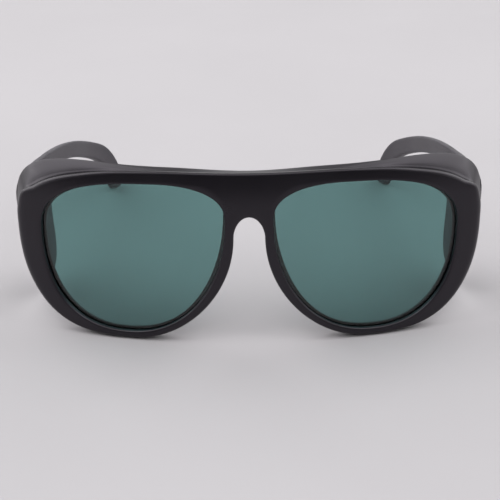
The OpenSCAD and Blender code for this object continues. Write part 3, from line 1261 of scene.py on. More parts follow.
@dataclass
class Station:
    """One section through the front at an angle round an opening. Sizes in millimetres.

    Args:
        front: The front.
        angle: The angle.
        lip_across: How wide the rounding of the lip's inner edge is.
        lip_down: How deep it is.
        hood_r: Rounding of the hood's rear edge on its outside.
        hood_across: How wide that rounding is.
        hood_in: Rounding of the hood's rear edge on its inside.
        fillet_r: The fillet where the wall meets the rim's rear.
        fillet_in: How far in from the wall the fillet begins, and how wide it is.
        rear_r: Rounding of the rim's rear edge towards the lens.
        bead_l: How far behind the edge's rounding the crease's bead ends.
        bead: Steps down the bead's rear: how far behind the rounding, and the share
            of the crease's depth that is left there.
        run: Steps along the wall behind it: the share of the way, and the share of
            the crease's depth.
        seam_step: How far apart the middle's points stand behind the face.
        seam_edge: How far the middle's points stand aside at the wall's end, and by
            how much more at its last.
        seam_in: How far they stand aside behind the rim.
    """

    front: Front
    angle: float
    lip_across: float = 0.7
    lip_down: float = 0.6
    hood_r: float = 0.6
    hood_across: float = 0.7
    hood_in: float = 0.45
    fillet_r: float = 0.5
    fillet_in: Pair = (0.15, 0.45)
    rear_r: float = 0.5
    bead_l: float = 1.2
    bead: Sequence[Pair] = ((0.3, 1.0), (0.7, 1.0), (0.95, 0.96), (1.05, 0.75))
    run: Sequence[Pair] = (
        (0, 0.55), (0.08, 0.42), (0.2, 0.22), (0.36, 0.07), (0.55, 0), (0.78, 0),
    )
    seam_step: float = 0.1
    seam_edge: Pair = (0.5, 0.4)
    seam_in: float = 1.2

    def __post_init__(self) -> None:
        """Works out the section's line and what its wall is like there."""
        f, a = self.front, self.angle
        self.inner = f.opening(a)
        self.outer, self.normal = f.outline(a)
        span = (self.outer - self.inner).length
        self.line = (self.outer - self.inner) / span
        self.thick = min(f.wall_t, 0.5 * span)
        self.middle = f.bridge_from < a < f.arch_from
        self.seam = 1.0 if f.bridge_from <= a <= f.arch_from else 0.0
        self.sides = 0.0 if self.middle else 1.0
        self.hood = f.hood_share(a)
        self.crease = 0.0 if self.middle else f.crease(a)
        self.round = 0.0 if self.middle else f.edge_round(a) + f.bead_gain * self.crease
        self.start = self.seam_step if self.middle else self.round

    def aside(self, distance: float) -> Vector:
        """How a step towards the opening moves a point at the rim's rear.

        Args:
            distance: The step.

        Returns:
            The way that the point goes.
        """
        f = self.front
        inward = (self.inner - self.outer).normalized()
        base = f.wrap(self.outer, f.rim_depth)
        return f.wrap(self.outer + inward * distance, f.rim_depth) - base

    def lip(self) -> list[Vector]:
        """The rounding of the lip's inner edge."""
        across, down = self.line * self.lip_across, self.lip_down
        on_face = self.front.on_face
        return [on_face(self.inner + across * c, down * s) for c, s in rounding(5)]

    def face(self) -> list[Vector]:
        """The face, from the lip to the rounding of the outer edge.

        Returns:
            The points.
        """
        f, r = self.front, self.round
        first = self.inner + self.line * self.lip_across
        last = self.outer + self.normal * (self.crease + r)
        points = [f.on_face(first.lerp(last, x)) for x in (0.25, 0.5, 0.75)]
        points += [
            f.on_face(self.outer + self.normal * (self.crease + r * s), r * c)
            for c, s in rounding(7)
        ]
        if self.middle:
            points[-1] = f.on_face(self.outer, self.start)
        return points

    def wall(self) -> list[Vector]:
        """The bead, the crease behind it, the wall and the hood's rear edge.

        Returns:
            The points.
        """
        f, a = self.front, self.angle
        points = [
            f.wrap(self.outer + self.normal * self.crease * share, self.start + back)
            for back, share in self.bead
        ]
        root, end = f.wrap(self.outer, self.start + self.bead_l), f.wall_end(a, 0)
        rearward = (end - root).normalized()
        last = end - rearward * self.hood_r
        sunk = Vector((self.normal.x, 0, self.normal.y)) * self.crease
        points += [root.lerp(last, x) + sunk * share for x, share in self.run]
        points += [
            f.wall_end(a, self.sides * self.hood_across * c) - rearward * self.hood_r * s
            for c, s in rounding(5)
        ]
        first, more = self.seam_edge
        for c, s in rounding(4):
            inset = self.sides * (self.thick - self.hood_r + self.hood_in * (1 - s))
            moved = self.aside(first + more * (1 - s)) * self.seam
            points.append(
                f.wall_end(a, inset) - rearward * self.hood_r * self.hood * c + moved
            )
        return points

    def rear(self, wall_in: Vector) -> list[Vector]:
        """The wall's inside, the fillet at its root and the rim's rear.

        Args:
            wall_in: The wall's last point.

        Returns:
            The points.
        """
        f = self.front
        root = self.outer + self.normal * self.thick * self.sides
        first, more = self.fillet_in
        fillet = [
            f.wrap(root, f.rim_depth + self.fillet_r * self.hood * s)
            + self.aside(first + more * c + self.seam_in * self.seam)
            for c, s in rounding(4)
        ]
        points = [wall_in.lerp(fillet[0], x) for x in (0.25, 0.5, 0.75)]
        points += fillet
        behind = self.inner - self.line * f.flange(self.angle)
        across = self.line * self.rear_r
        edge = f.wrap(behind + across, f.rim_depth)
        points += [fillet[-1].lerp(edge, x) for x in (0.33, 0.67)]
        points += [
            f.wrap(behind + across * s, f.rim_depth - self.rear_r * c)
            for c, s in rounding(4)
        ]
        return [*points, f.wrap(behind, f.groove_back)]

    def groove(self) -> list[Vector]:
        """The groove that holds the lens, from its rear to the lip.

        Returns:
            The points.
        """
        f = self.front
        deep = self.inner + self.line * f.groove_d
        corners = ((deep, f.groove_back), (deep, f.lip_t), (self.inner, f.lip_t))
        return [f.wrap(p, w) for p, w in corners]

    def section(self) -> list[Vector]:
        """The whole section: lip, face, wall, hood's edge, rear and groove.

        Returns:
            The points, all the way round.
        """
        outside = [*self.lip(), *self.face(), *self.wall()]
        return [*outside, *self.rear(outside[-1]), *self.groove()]


@dataclass
class Lens:
    """A curved filter lens in the front's groove. Sizes in millimetres.

    Args:
        front: The front that holds it.
        bevel: The bevel round its edge.
        middle_at: Its middle, as shares of the opening's width and height.
        shares: The rings between the middle and the edge, as shares of the way.
    """

    front: Front
    bevel: float = 0.15
    middle_at: Pair = (0.5, 0.52)
    shares: tuple[float, ...] = (0.08, 0.2, 0.34, 0.48, 0.62, 0.75, 0.86, 0.94, 0.985)

    def edge(self, a: float) -> Vector:
        """A point on the lens's edge, on the unrolled front.

        Args:
            a: The angle, in degrees.

        Returns:
            The point.
        """
        inner = self.front.opening(a)
        out = (self.front.outline(a)[0] - inner).normalized()
        return inner + out * (self.front.groove_d - self.front.lens_gap)

    def build(self, place: Place, side: Side) -> bpy.types.Object:
        """Builds the lens of one side.

        Args:
            place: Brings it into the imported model's frame.
            side: The side.

        Returns:
            The lens.
        """
        f = self.front
        across, up = self.middle_at
        middle = Vector((f.open_nose + across * f.lens_w, f.open_low + up * f.lens_h))
        near = f.lip_t + f.lens_gap
        far = near + f.lens_t
        edges = [self.edge(a) for a in f.angles()]
        rows = [(share, 0.0, near) for share in self.shares]
        rows += [(1.0, self.bevel, near), (1.0, 0.0, near + self.bevel)]
        rows += [(1.0, 0.0, far - self.bevel), (1.0, self.bevel, far)]
        rows += [(share, 0.0, far) for share in reversed(self.shares)]

        def at(edge: Vector, share: float, inset: float, w: float) -> Vector:
            """A point of the lens.

            Args:
                edge: The lens's edge in its direction.
                share: The share of the way to that edge.
                inset: How far short of there it is.
                w: Its depth behind the front's face.

            Returns:
                The point in metres.
            """
            reach = (edge - middle) * share
            return place.point(f.wrap(middle + reach - reach.normalized() * inset, w), side)

        sections = [[at(e, *row) for e in edges] for row in rows]
        lens = Bench.ball(f"lens_{side.word}_glass", f.stations, len(rows))
        poles = tuple(place.point(f.wrap(middle, w), side) for w in (near, far))
        Bench.press_ball(lens, sections, poles)
        Bench.weld(lens)
        Bench.shade(lens)
        return lens


@dataclass
class Temple:
    """A folding temple: arm, ear tip and side shield.

    Sizes are in millimetres, and distances along the temple start at the hood.

    Args:
        front: The front that it joins.
        temple_t: Its thickness.
        tip_t: Its thickness at the tip.
        tip_from: The shares of its length where it begins and ends to thicken.
        arm_h: Height of the arm at the hood.
        arm_taper: How much lower the arm is behind the shield.
        taper_from: Where it begins and ends to get lower.
        temple_l: Its length.
        temple_z: The height of its top at the hood.
        temple_slope: How fast it draws in towards the rear.
        draw_in: How far it draws in at once behind the hood.
        draw_l: The distance over which it does.
        proud: How far its outer face stands out from the hood's.
        tip_curl: How far the tip curls in.
        curl_from: The share of its length where the curl begins.
        top_lean: How far the arm's top edge leans in.
        butt_lean: How much more it leans at the hood.
        butt_l: The distance over which that fades.
        lean_low: How far under the arm the lean begins.
        sag: The share of the drop to the tip that the whole arm takes.
        sag_power: How late it does.
        hook: The share of the drop that the hook at the end takes.
        hook_from: The share of the length where the hook begins.
        hook_l: The share of the length that it covers.
        square_from: Where sections begin and end to turn across the arm's slope.
        butt_gap: The gap between the hood and the temple.
        edge_r: Rounding of its edges.
        shield_z: The height of the shield's lowest edge.
        shield_l: Length of the shield.
        shield_lean: How far the shield's foot leans in.
        foot_z: The height below which it leans.
        foot_fade: Where that lean begins and ends to fade.
        shield_mid: The height where the shield's corners begin.
        corner_l: Reach of the shield's front corner.
        rear_from: Where the shield's rear corner begins.
        rear_power: How square the rear corner is.
        fillet_l: Length of the fillet under the arm.
        rows: Sections round the shield's front corner, round its rear corner, round
            the fillet, along the arm and round the tip.
        skin: Points up the outer and the inner face of one section.
        window_w: Width of the side window's opening.
        window_h: Its height.
        window_z: The height of its middle.
        window_s: The distance of its middle behind the butt.
        window_r: Rounding of its corners.
        window_step: Width of the step round it.
        through: How far the window's cutters reach past the shield.
        pane_t: Thickness of the pane.
        pane_sunk: How far the pane is sunk below the shield's face.
        pane_gap: Clearance round the pane.
        pane_edge: How far the pane's edges are broken.
    """

    front: Front
    temple_t: float = 2.6
    tip_t: float = 3.4
    tip_from: Pair = (0.6, 0.95)
    arm_h: float = 7.6
    arm_taper: float = 1.2
    taper_from: Pair = (8, 45)
    temple_l: float = 95.5
    temple_z: float = 52.0
    temple_slope: float = 0.168
    draw_in: float = 1.7
    draw_l: float = 18
    proud: float = 0.1
    tip_curl: float = 3.6
    curl_from: float = 0.63
    top_lean: float = 1.7
    butt_lean: float = 1.1
    butt_l: float = 14
    lean_low: float = 2
    sag: float = 0.77
    sag_power: float = 1.9
    hook: float = 0.23
    hook_from: float = 0.79
    hook_l: float = 0.21
    square_from: Pair = (18, 45)
    butt_gap: float = 0.3
    edge_r: float = 1.0
    shield_z: float = 4.6
    shield_l: float = 22.0
    shield_lean: float = 1.8
    foot_z: float = 30
    foot_fade: Pair = (24, 40)
    shield_mid: float = 22.0
    corner_l: float = 7
    rear_from: float = 8
    rear_power: float = 0.8
    fillet_l: float = 7.0
    rows: tuple[int, ...] = (19, 30, 10, 45, 11)
    skin: int = 15
    window_w: float = 8.6
    window_h: float = 20.0
    window_z: float = 23.0
    window_s: float = 7.3
    window_r: float = 2
    window_step: float = 1.0
    through: float = 4
    pane_t: float = 1.2
    pane_sunk: float = 0.15
    pane_gap: float = 0.1
    pane_edge: float = 0.12

    def __post_init__(self) -> None:
        """Works out where the temple stands and where its tip lies."""
        self.side_x = self.front.wall_end(0, 0).x + self.proud
        self.tip_r = (self.arm_h - self.arm_taper) / 2
        self.tip_s = self.temple_l - self.tip_r
        self.arm_from = self.shield_l + self.fillet_l

    def plate_x(self, s: float) -> float:
        """How far the outer face stands from the middle of the face.

        Args:
            s: The distance behind the hood.

        Returns:
            The distance.
        """
        curl_from = self.curl_from * self.temple_l
        curl = max(0.0, s - curl_from) / (self.temple_l - curl_from)
        return (
            self.side_x
            - self.temple_slope * s
            - self.draw_in * smooth(0, self.draw_l, s)
            - self.tip_curl * curl**2
        )

    def plate_turn(self, s: float, reach: float) -> float:
        """How far the outer face is turned in, seen from above.

        Args:
            s: The distance behind the hood.
            reach: How far on either side of there it is measured.

        Returns:
            The angle, in radians.
        """
        return math.atan((self.plate_x(s - reach) - self.plate_x(s + reach)) / (2 * reach))

    def foot_lean(self, z: float) -> float:
        """How far the shield leans in at a height."""
        below = max(0.0, self.foot_z - z) / (self.foot_z - self.shield_z)
        return self.shield_lean * below**2

    def arm_z(self, s: float) -> float:
        """The height of the arm's middle line.

        Args:
            s: The distance behind the hood.

        Returns:
            The height.
        """
        drop = self.temple_z - self.arm_h / 2 - self.tip_r
        sag = self.sag * drop * (max(0.0, s) / self.tip_s) ** self.sag_power
        hooked = max(0.0, s / self.tip_s - self.hook_from) / self.hook_l
        return self.temple_z - self.arm_h / 2 - sag - self.hook * drop * hooked**3

    def arm_half(self, s: float) -> float:
        """Half the arm's height at a distance behind the hood."""
        return (self.arm_h - self.arm_taper * smooth(*self.taper_from, s)) / 2

    def arm_frame(self, s: float) -> tuple[Vector, Vector]:
        """The directions along and across the arm, seen from the side.

        Args:
            s: The distance behind the hood.

        Returns:
            Along the arm, and up across it.
        """
        reach = 0.1
        slope = (self.arm_z(s + reach) - self.arm_z(s - reach)) / (2 * reach)
        across = Vector((-slope * smooth(*self.square_from, s), 1)).normalized()
        return Vector((1, slope)).normalized(), across

    def stations(self) -> list[tuple[float, float | None, float]]:
        """The sections along the temple, from the butt to the tip.

        Returns:
            For each, the distance behind the hood, the lowest height, or None along
            the arm, and the angle round the rounded tip, in radians.
        """
        mid, power = self.shield_mid, self.rear_power
        drop = mid - self.shield_z
        under = self.arm_z(self.arm_from) - self.arm_half(self.arm_from)
        butt, rear, fillet, arm, tip = self.rows
        out: list[tuple[float, float | None, float]] = []
        for x in turns(0, 90, butt):
            s = max(self.butt_gap, self.corner_l - self.corner_l * math.cos(x))
            out.append((s, mid - drop * math.sin(x), 0))
        for x in turns(86, 1, rear):
            s = self.rear_from + (self.shield_l - self.rear_from) * math.cos(x) ** power
            out.append((s, mid - drop * math.sin(x) ** power, 0))
        for x in turns(9, 90, fillet):
            s = self.shield_l + self.fillet_l * (1 - math.cos(x))
            out.append((s, mid + (under - mid) * math.sin(x), 0))
        out += [(s, None, 0) for s in ramp(self.arm_from, self.tip_s, arm)[1:]]
        out += [(self.tip_s, None, x) for x in turns(8, 88, tip)]
        return out

    def sheet(self, s: float, lowest: float | None, tip: float) -> list[Vector]:
        """One section: outer face up, top edge, inner face down, low edge.

        Args:
            s: The distance behind the hood.
            lowest: The lowest height, or None along the arm.
            tip: The angle round the rounded tip, in radians.

        Returns:
            The points of the section.
        """
        along, up = self.arm_frame(s)
        mid = Vector((s, self.arm_z(s))) + along * math.sin(tip) * self.arm_half(s)
        top = math.cos(tip) * self.arm_half(s)
        low = -top if lowest is None else (lowest - mid.y) / up.y
        thicker = smooth(*self.tip_from, s / self.temple_l)
        t = self.temple_t + (self.tip_t - self.temple_t) * thicker
        r = min(self.edge_r, top * 0.6)
        q = self.edge_r
        rise = top - low - 2 * r
        shares = ramp(0, 1, self.skin)
        on, off = turns(22.5, 90, 4), turns(0, 67.5, 4)

        def at(h: float, d: float) -> Vector:
            """A point of the section.

            Args:
                h: Its height over the arm's middle line, across the arm.
                d: Its depth below the outer face.

            Returns:
                The point.
            """
            p = mid + up * h
            lean = self.top_lean + self.butt_lean * (1 - smooth(0, self.butt_l, p.x))
            over = max(0.0, h + self.arm_h / 2 + self.lean_low) / (self.arm_h + self.lean_low)
            foot = self.foot_lean(p.y) * (1 - smooth(*self.foot_fade, p.x))
            x = self.plate_x(p.x) - lean * over**2 - foot - d
            return Vector((x, self.front.hood_y + p.x, p.y))

        points = [at(low + r + rise * f, 0) for f in shares]
        points += [at(top - r + r * math.sin(x), q - q * math.cos(x)) for x in on]
        points += [at(top - r + r * math.cos(x), t - q + q * math.sin(x)) for x in off]
        points += [at(low + r + rise * f, t) for f in reversed(shares)]
        points += [at(low + r - r * math.sin(x), t - q + q * math.cos(x)) for x in on]
        points += [at(low + r - r * math.cos(x), q - q * math.sin(x)) for x in off]
        return points

    def window_place(self) -> Matrix:
        """The place of the side window: on the shield, turned and tilted with it.

        Returns:
            The place, in metres on the left.
        """
        s = self.butt_gap + self.window_s
        foot = self.foot_lean(self.window_z - self.window_h / 2)
        x = self.plate_x(s) - foot / 2 - self.pane_sunk
        return (
            Matrix.Translation(Vector((x, self.front.hood_y + s, self.window_z)) * MM)
            @ Matrix.Rotation(self.plate_turn(s, 4), 4, "Z")
            @ Matrix.Rotation(math.atan(foot / self.window_h), 4, "Y")
        )

    def window_block(self, name: str, grow: float, x0: float, x1: float) -> bpy.types.Object:
        """A block with rounded corners, of the window's size.

        Args:
            name: Its name.
            grow: How far it reaches past the window's opening all round.
            x0: Its inner face.
            x1: Its outer face.

        Returns:
            The block, in metres about the window's middle.
        """
        w, h = self.window_w / 2 + grow, self.window_h / 2 + grow
        block = Bench.block(name, (x0, -w, -h), (x1, w, h))
        Bench.mark(block, Part.EDGES, lambda ends: abs(ends[0].x - ends[1].x) > 1e-6)
        bpy.ops.mesh.bevel(
            offset=(self.window_r + grow) * MM, segments=12, offset_type="OFFSET"
        )
        bpy.ops.object.mode_set(mode="OBJECT")
        return block

    def build(
        self, place: Place, side: Side, cutters: list[bpy.types.Object]
    ) -> bpy.types.Object:
        """Builds the temple of one side.

        Args:
            place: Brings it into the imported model's frame.
            side: The side.
            cutters: The hinge's pockets.

        Returns:
            The temple.
        """
        sections = [
            [place.point(p, side) for p in self.sheet(*station)]
            for station in self.stations()
        ]
        temple = Bench.ball(f"temple_{side.word}_arm", len(sections[0]), len(sections))
        poles = tuple(sum(row, Vector()) / len(row) for row in (sections[0], sections[-1]))
        Bench.press_ball(temple, sections, poles)
        Bench.weld(temple)
        hole = self.window_block("hole", 0, -self.through, self.through)
        step = self.window_block("step", self.window_step, -self.pane_t, self.through)
        for cutter in (hole, step):
            Bench.settle(cutter, place.matrix(side) @ self.window_place())
        Bench.carve(temple, [hole, step, *cutters])
        Bench.shade(temple)
        return temple

    def build_window(self, place: Place, side: Side) -> bpy.types.Object:
        """Builds the pane in the shield's window.

        Args:
            place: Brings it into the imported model's frame.
            side: The side.

        Returns:
            The pane.
        """
        name, grow = f"side_window_{side.word}_pane", self.window_step - self.pane_gap
        pane = self.window_block(name, grow, -self.pane_t, 0)
        Bench.break_edges(pane, self.pane_edge, segments=3, angle=50)
        Bench.settle(pane, place.matrix(side) @ self.window_place())
        Bench.weld(pane)
        Bench.shade(pane)
        return pane


@dataclass
class Hinge:
    """A five-knuckle hinge with a slotted screw, sunk into front and temple.

    Sizes are in millimetres.

    Args:
        front: The front.
        temple: The temple.
        knuckle_r: Radius of the knuckles.
        knuckle_h: Height of one knuckle.
        knuckle_gap: The running gap between two.
        leaf_t: Thickness of a leaf.
        leaf_l: Length of the temple's leaf.
        leaf_w: Width of the front's leaf.
        leaf_sink: How deep a leaf is sunk in the plastic.
        leaf_gap: Clearance round a leaf.
        arm_w: Width of the arm that carries the temple's knuckles.
        hinge_z: The height of the hinge's middle.
        hinge_room: The room round the knuckles.
        screw_head_h: Height of the screw's head.
        head_room: The further room over it.
        soften: How far the metal's edges are broken.
    """

    front: Front
    temple: Temple
    knuckle_r: float = 1.9
    knuckle_h: float = 1.8
    knuckle_gap: float = 0.12
    leaf_t: float = 1.0
    leaf_l: float = 6.0
    leaf_w: float = 5.2
    leaf_sink: float = 0.5
    leaf_gap: float = 0.05
    arm_w: float = 3
    hinge_z: float = 41.0
    hinge_room: float = 0.25
    screw_head_h: float = 0.7
    head_room: float = 0.1
    soften: float = 0.12

    def __post_init__(self) -> None:
        """Works out the pin's place and the leaves' places."""
        f, t = self.front, self.temple
        inner_x = t.plate_x(t.butt_gap) - t.temple_t
        self.pin_x = inner_x - self.knuckle_r - self.hinge_room - self.leaf_gap
        self.pin_y = f.hood_y + t.butt_gap / 2
        self.stack_h = 5 * self.knuckle_h + 4 * self.knuckle_gap
        self.stack_z = self.hinge_z - self.stack_h / 2
        self.leaf_s = t.butt_gap + self.knuckle_r + self.hinge_room + self.leaf_l / 2
        self.leaf_turn = t.plate_turn(self.leaf_s, 2)
        self.rim_u = f.out_side - f.wall_t - 2 * self.hinge_room - self.leaf_w / 2
        lean = math.radians(f.lean)
        depth = f.bend((self.rim_u, 0), f.rim_depth).y
        self.rim_v = (self.hinge_z - f.foot_lift + depth * math.tan(lean)) / math.cos(lean)

    def at_pin(self) -> Matrix:
        """The place of the pin's foot."""
        return Matrix.Translation(Vector((self.pin_x, self.pin_y, self.stack_z)) * MM)

    def relief(self) -> bpy.types.Object:
        """The room that is cut round the knuckles and the screw.

        Returns:
            The cutter.
        """
        room = self.hinge_room
        high = self.stack_h + self.screw_head_h + room + self.head_room
        rod = Bench.rod("relief", self.knuckle_r + room, -room, high)
        Bench.settle(rod, self.at_pin())
        return rod

    def front_pockets(self, place: Place, side: Side) -> list[bpy.types.Object]:
        """What the hinge takes out of the front.

        Args:
            place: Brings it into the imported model's frame.
            side: The side.

        Returns:
            The cutters.
        """
        f, g = self.front, self.leaf_gap
        w, h = self.leaf_w / 2 + g, self.stack_h / 2 + g
        leaf = Bench.block(
            "rim_pocket",
            (-w, -self.leaf_sink, -h),
            (w, self.leaf_t - self.leaf_sink, h),
        )
        at_leaf = (
            Matrix.Translation(f.wrap((self.rim_u, self.rim_v), f.rim_depth) * MM)
            @ Matrix.Rotation(-math.radians(f.lean), 4, "X")
            @ Matrix.Rotation(self.rim_u / f.wrap_r, 4, "Z")
        )
        Bench.settle(leaf, at_leaf)
        cutters = [self.relief(), leaf]
        place.carry(cutters, side)
        return cutters

    def temple_pockets(self, place: Place, side: Side) -> list[bpy.types.Object]:
        """What the hinge takes out of the temple.

        Args:
            place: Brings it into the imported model's frame.
            side: The side.

        Returns:
            The cutters.
        """
        g, t = self.leaf_gap, self.temple
        length, h = self.leaf_l / 2 + g, self.stack_h / 2 + g
        leaf = Bench.block(
            "temple_pocket",
            (self.leaf_sink - self.leaf_t, -length, -h),
            (self.leaf_sink, length, h),
        )
        turn = Matrix.Rotation(self.leaf_turn, 4, "Z")
        leaf_x = t.plate_x(self.leaf_s) - t.temple_t
        middle = Vector((leaf_x, self.front.hood_y + self.leaf_s, self.hinge_z))
        Bench.settle(leaf, Matrix.Translation(middle * MM) @ turn)
        reach = (
            (middle.x - self.pin_x) * math.cos(self.leaf_turn)
            + (middle.y - self.pin_y) * math.sin(self.leaf_turn)
            + self.leaf_sink
        )
        arm = Bench.block(
            "arm_pocket",
            (0.5 * self.knuckle_r, -2 * g, -2 * g),
            (reach, self.arm_w + 2 * g, self.stack_h + 2 * g),
        )
        Bench.settle(arm, self.at_pin() @ turn)
        cutters = [self.relief(), leaf, arm]
        place.carry(cutters, side)
        return cutters

    def soften_node(self, node: bpy.types.Object, name: str) -> bpy.types.Object:
        """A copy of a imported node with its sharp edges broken.

        Args:
            node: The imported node.
            name: The copy's name.

        Returns:
            The copy.
        """
        Bench.clear()
        copy = bpy.data.objects.new(name, node.data.copy())
        bpy.context.scene.collection.objects.link(copy)
        copy.data.materials.clear()
        Bench.weld(copy)
        Bench.finish_modifier(
            copy, "DECIMATE", decimate_type="DISSOLVE", angle_limit=math.radians(1)
        )
        Bench.break_edges(copy, self.soften, segments=2, angle=40)
        Bench.shade(copy)
        return copy


@dataclass(frozen=True)
class Panel:
    """A soft light panel.

    Args:
        name: Its name.
        spot: Where it hangs, in metres.
        aim: What it points at.
        size: Its width and height, in metres.
        glow: Its radiance, in watts for each square metre and steradian.
    """

    name: str
    spot: Triple
    aim: Triple
    size: Pair
    glow: float

    def hang(self) -> None:
        """Adds the panel to the scene, unseen by the camera."""
        Bench.clear()
        bpy.ops.object.light_add(type="AREA", location=self.spot)
        lamp = Bench.newest(self.name)
        lamp.data.shape = "RECTANGLE"
        lamp.data.size, lamp.data.size_y = self.size
        lamp.data.energy = self.glow * math.pi * self.size[0] * self.size[1]
        line = Vector(self.spot) - Vector(self.aim)
        lamp.rotation_euler = line.to_track_quat("Z", "Y").to_euler()
        lamp.visible_camera = False


@dataclass(frozen=True)
class Studio:
    """The pale table, its lights and the camera.

    Args:
        target: The point that the camera looks at, in millimetres.
        distance: The camera's distance from it.
        rise: How far down the camera looks, in degrees.
        yaw: How far it stands to the side, in degrees.
        roll: How far it is turned about its line of sight, in degrees.
        focal: Its focal length.
        sensor: The width of its sensor.
        sheet: The table sheet's length, in metres.
        backdrop: The height that its far side rises to.
        bend: The radius of the curve between the two.
        air: How strongly the surrounding air glows.
        air_tint: Its colour.
        panels: The light panels.
    """

    target: Triple = (0.177, -62.97, 36.966)
    distance: float = 378.4
    rise: float = 30.0
    yaw: float = 0.148
    roll: float = -0.876
    focal: float = 83.52
    sensor: float = 36
    sheet: float = 6
    backdrop: float = 3
    bend: float = 1.0
    air: float = 0.1
    air_tint: Triple = (1, 0.99, 1)
    panels: tuple[Panel, ...] = (
        Panel("overhead", (0, -0.4, 0.85), (0, 0, 0), (1.0, 0.9), 2.0),
        Panel("back_panel", (0, 1.3, 0.6), (0, 0, 0.04), (3.0, 1.1), 1.1),
        Panel("left_panel", (0.78, 0.3, 0.93), (0, 0, 0.03), (1.4, 1.3), 2.3),
        Panel("right_panel", (-0.78, 0.3, 0.93), (0, 0, 0.03), (1.4, 1.3), 2.6),
        Panel("left_low", (1.06, 0, 0.29), (0, 0, 0.03), (1.7, 0.5), 1.3),
        Panel("right_low", (-1.06, 0, 0.29), (0, 0, 0.03), (1.7, 0.5), 1.5),
    )

    def camera(self) -> None:
        """Sets the camera where the photograph's stood."""
        rise, yaw, roll = (math.radians(x) for x in (self.rise, self.yaw, self.roll))
        back = Vector(
            (
                math.sin(yaw) * math.cos(rise),
                -math.cos(yaw) * math.cos(rise),
                math.sin(rise),
            )
        )
        right = (-back).cross(Vector((0, 0, 1))).normalized()
        up = right.cross(-back)
        level = math.cos(roll) * right + math.sin(roll) * up
        head = -math.sin(roll) * right + math.cos(roll) * up
        turn = Matrix((level, head, back)).transposed().to_4x4()
        spot = (Vector(self.target) + back * self.distance) * MM
        Bench.clear()
        bpy.ops.object.camera_add()
        camera = Bench.newest("camera")
        camera.matrix_world = Matrix.Translation(spot) @ turn
        camera.data.lens = self.focal
        camera.data.sensor_width = self.sensor
        camera.data.clip_start = 0.01
        camera.data.clip_end = 20
        bpy.context.scene.camera = camera

    def floor(self) -> None:
        """Lays the table: a sheet that curves up into the backdrop far behind."""
        Bench.clear()
        bpy.ops.mesh.primitive_plane_add(size=self.sheet, location=(0, 0, 0))
        sheet = Bench.newest("table_sheet")
        Bench.settle(sheet)
        far = 0.48 * self.sheet
        Bench.mark(sheet, Part.EDGES, lambda ends: all(p.y > far for p in ends))
        bpy.ops.mesh.extrude_region_move(
            TRANSFORM_OT_translate={"value": (0, 0, self.backdrop)}
        )
        Bench.mark(
            sheet, Part.EDGES, lambda ends: all(abs(p.z) < 1e-6 and p.y > far for p in ends)
        )
        bpy.ops.mesh.bevel(offset=self.bend, segments=16)
        bpy.ops.object.mode_set(mode="OBJECT")
        Bench.shade(sheet, angle=40)
        sheet.data.materials.append(PaleCard("pale_card").make())

    def light(self) -> None:
        """Hangs the soft lights and sets the surrounding light."""
        for panel in self.panels:
            panel.hang()
        world = bpy.data.worlds.new("studio_air")
        world.use_nodes = True
        background = world.node_tree.nodes["Background"]
        background.inputs["Color"].default_value = (*self.air_tint, 1)
        background.inputs["Strength"].default_value = self.air
        bpy.context.scene.world = world


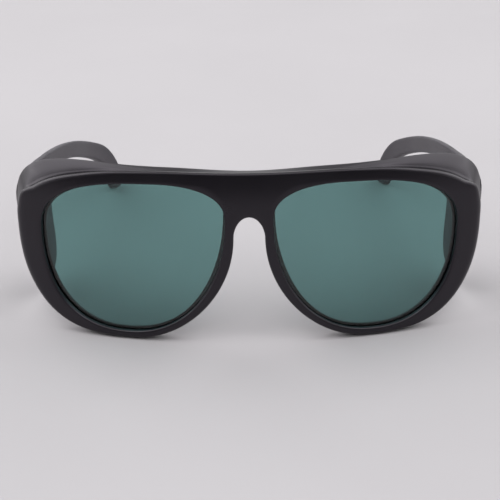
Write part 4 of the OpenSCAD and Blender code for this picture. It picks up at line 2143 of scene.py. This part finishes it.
@dataclass
class Spectacles:
    """The whole pair: its pieces, their finishes and what each rides on.

    Args:
        nodes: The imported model's nodes.
        body_of: The body that each node belongs to.
        front: The front that the other pieces are fitted to.
        place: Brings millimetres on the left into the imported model's frame.
    """

    nodes: dict[str, bpy.types.Object]
    body_of: dict[str, str]
    front: Front
    place: Place

    def dress(
        self, obj: bpy.types.Object, node: str, slot: str, material: bpy.types.Material
    ) -> None:
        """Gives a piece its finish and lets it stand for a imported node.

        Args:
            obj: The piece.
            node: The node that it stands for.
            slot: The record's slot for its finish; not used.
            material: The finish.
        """
        obj.data.materials.clear()
        obj.data.materials.append(material)
        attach(obj, self.body_of[node])
        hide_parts(node)
        log.info("%s: %d faces, for %s", obj.name, len(obj.data.polygons), node)

    def build(self) -> None:
        """Builds and dresses every piece."""
        temple, lens = Temple(self.front), Lens(self.front)
        hinge = Hinge(self.front, temple)
        plastic = MouldedPlastic("black_nylon").make()
        # The temples' copy of the black nylon has a lighter base colour: painted sheen
        # standing in for the light the arms catch. Its specks are real dust.
        lit_arm_plastic = MouldedPlastic(
            "black_nylon_arm", dark=(0.03, 0.028, 0.033), pale=(0.07, 0.067, 0.075),
            gloss=0.46, depth=0.000014, dust=0.05,
        ).make()
        glass = FilterGlass("green_filter_glass").make()
        pane_glass = FilterGlass("green_filter_pane", tint=(0.50, 0.52, 0.52)).make()
        steel = BrushedSteel("brushed_nickel_silver").make()
        bright = BrushedSteel(
            "turned_steel", bright=(0.70, 0.70, 0.72), worn=(0.55, 0.55, 0.57), lines=(1, 1, 4)
        ).make()
        place = self.place
        front = self.front.build(place, lambda side: hinge.front_pockets(place, side))
        self.dress(front, "front_frame", "frame_plastic", plastic)
        for side in Side:
            word = side.word
            pockets = hinge.temple_pockets(place, side)
            glazed = lens.build(place, side)
            arm = temple.build(place, side, pockets)
            pane = temple.build_window(place, side)
            pieces = [
                (glazed, f"lens_{word}", "filter_lens", glass),
                (arm, f"temple_{word}", "temple_plastic", lit_arm_plastic),
                (pane, f"side_window_{word}", "side_filter", pane_glass),
            ]
            for node, slot, metal in (
                (f"front_hinge_{word}", "hinge_steel", steel),
                (f"temple_hinge_{word}", "hinge_steel", steel),
                (f"hinge_screw_{word}", "screw_steel", bright),
            ):
                softened = hinge.soften_node(self.nodes[node], f"{node}_metal")
                pieces.append((softened, node, slot, metal))
            for piece in pieces:
                self.dress(*piece)


def main() -> None:
    """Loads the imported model, builds the pair round it and lights it."""
    logging.basicConfig(level=logging.INFO, format="%(message)s")
    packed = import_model()
    bodies = packed["record"]["behaviour"]["bodies"]
    body_of = {node: body for body, nodes in bodies.items() for node in nodes}
    front = Front()
    middle = front.front_y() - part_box("front_frame")[0].y / MM
    Spectacles(packed["nodes"], body_of, front, Place(middle)).build()
    studio = Studio()
    studio.floor()
    studio.light()
    studio.camera()
    bpy.context.scene.view_settings.view_transform = "Standard"


if __name__ == "__main__":
    main()
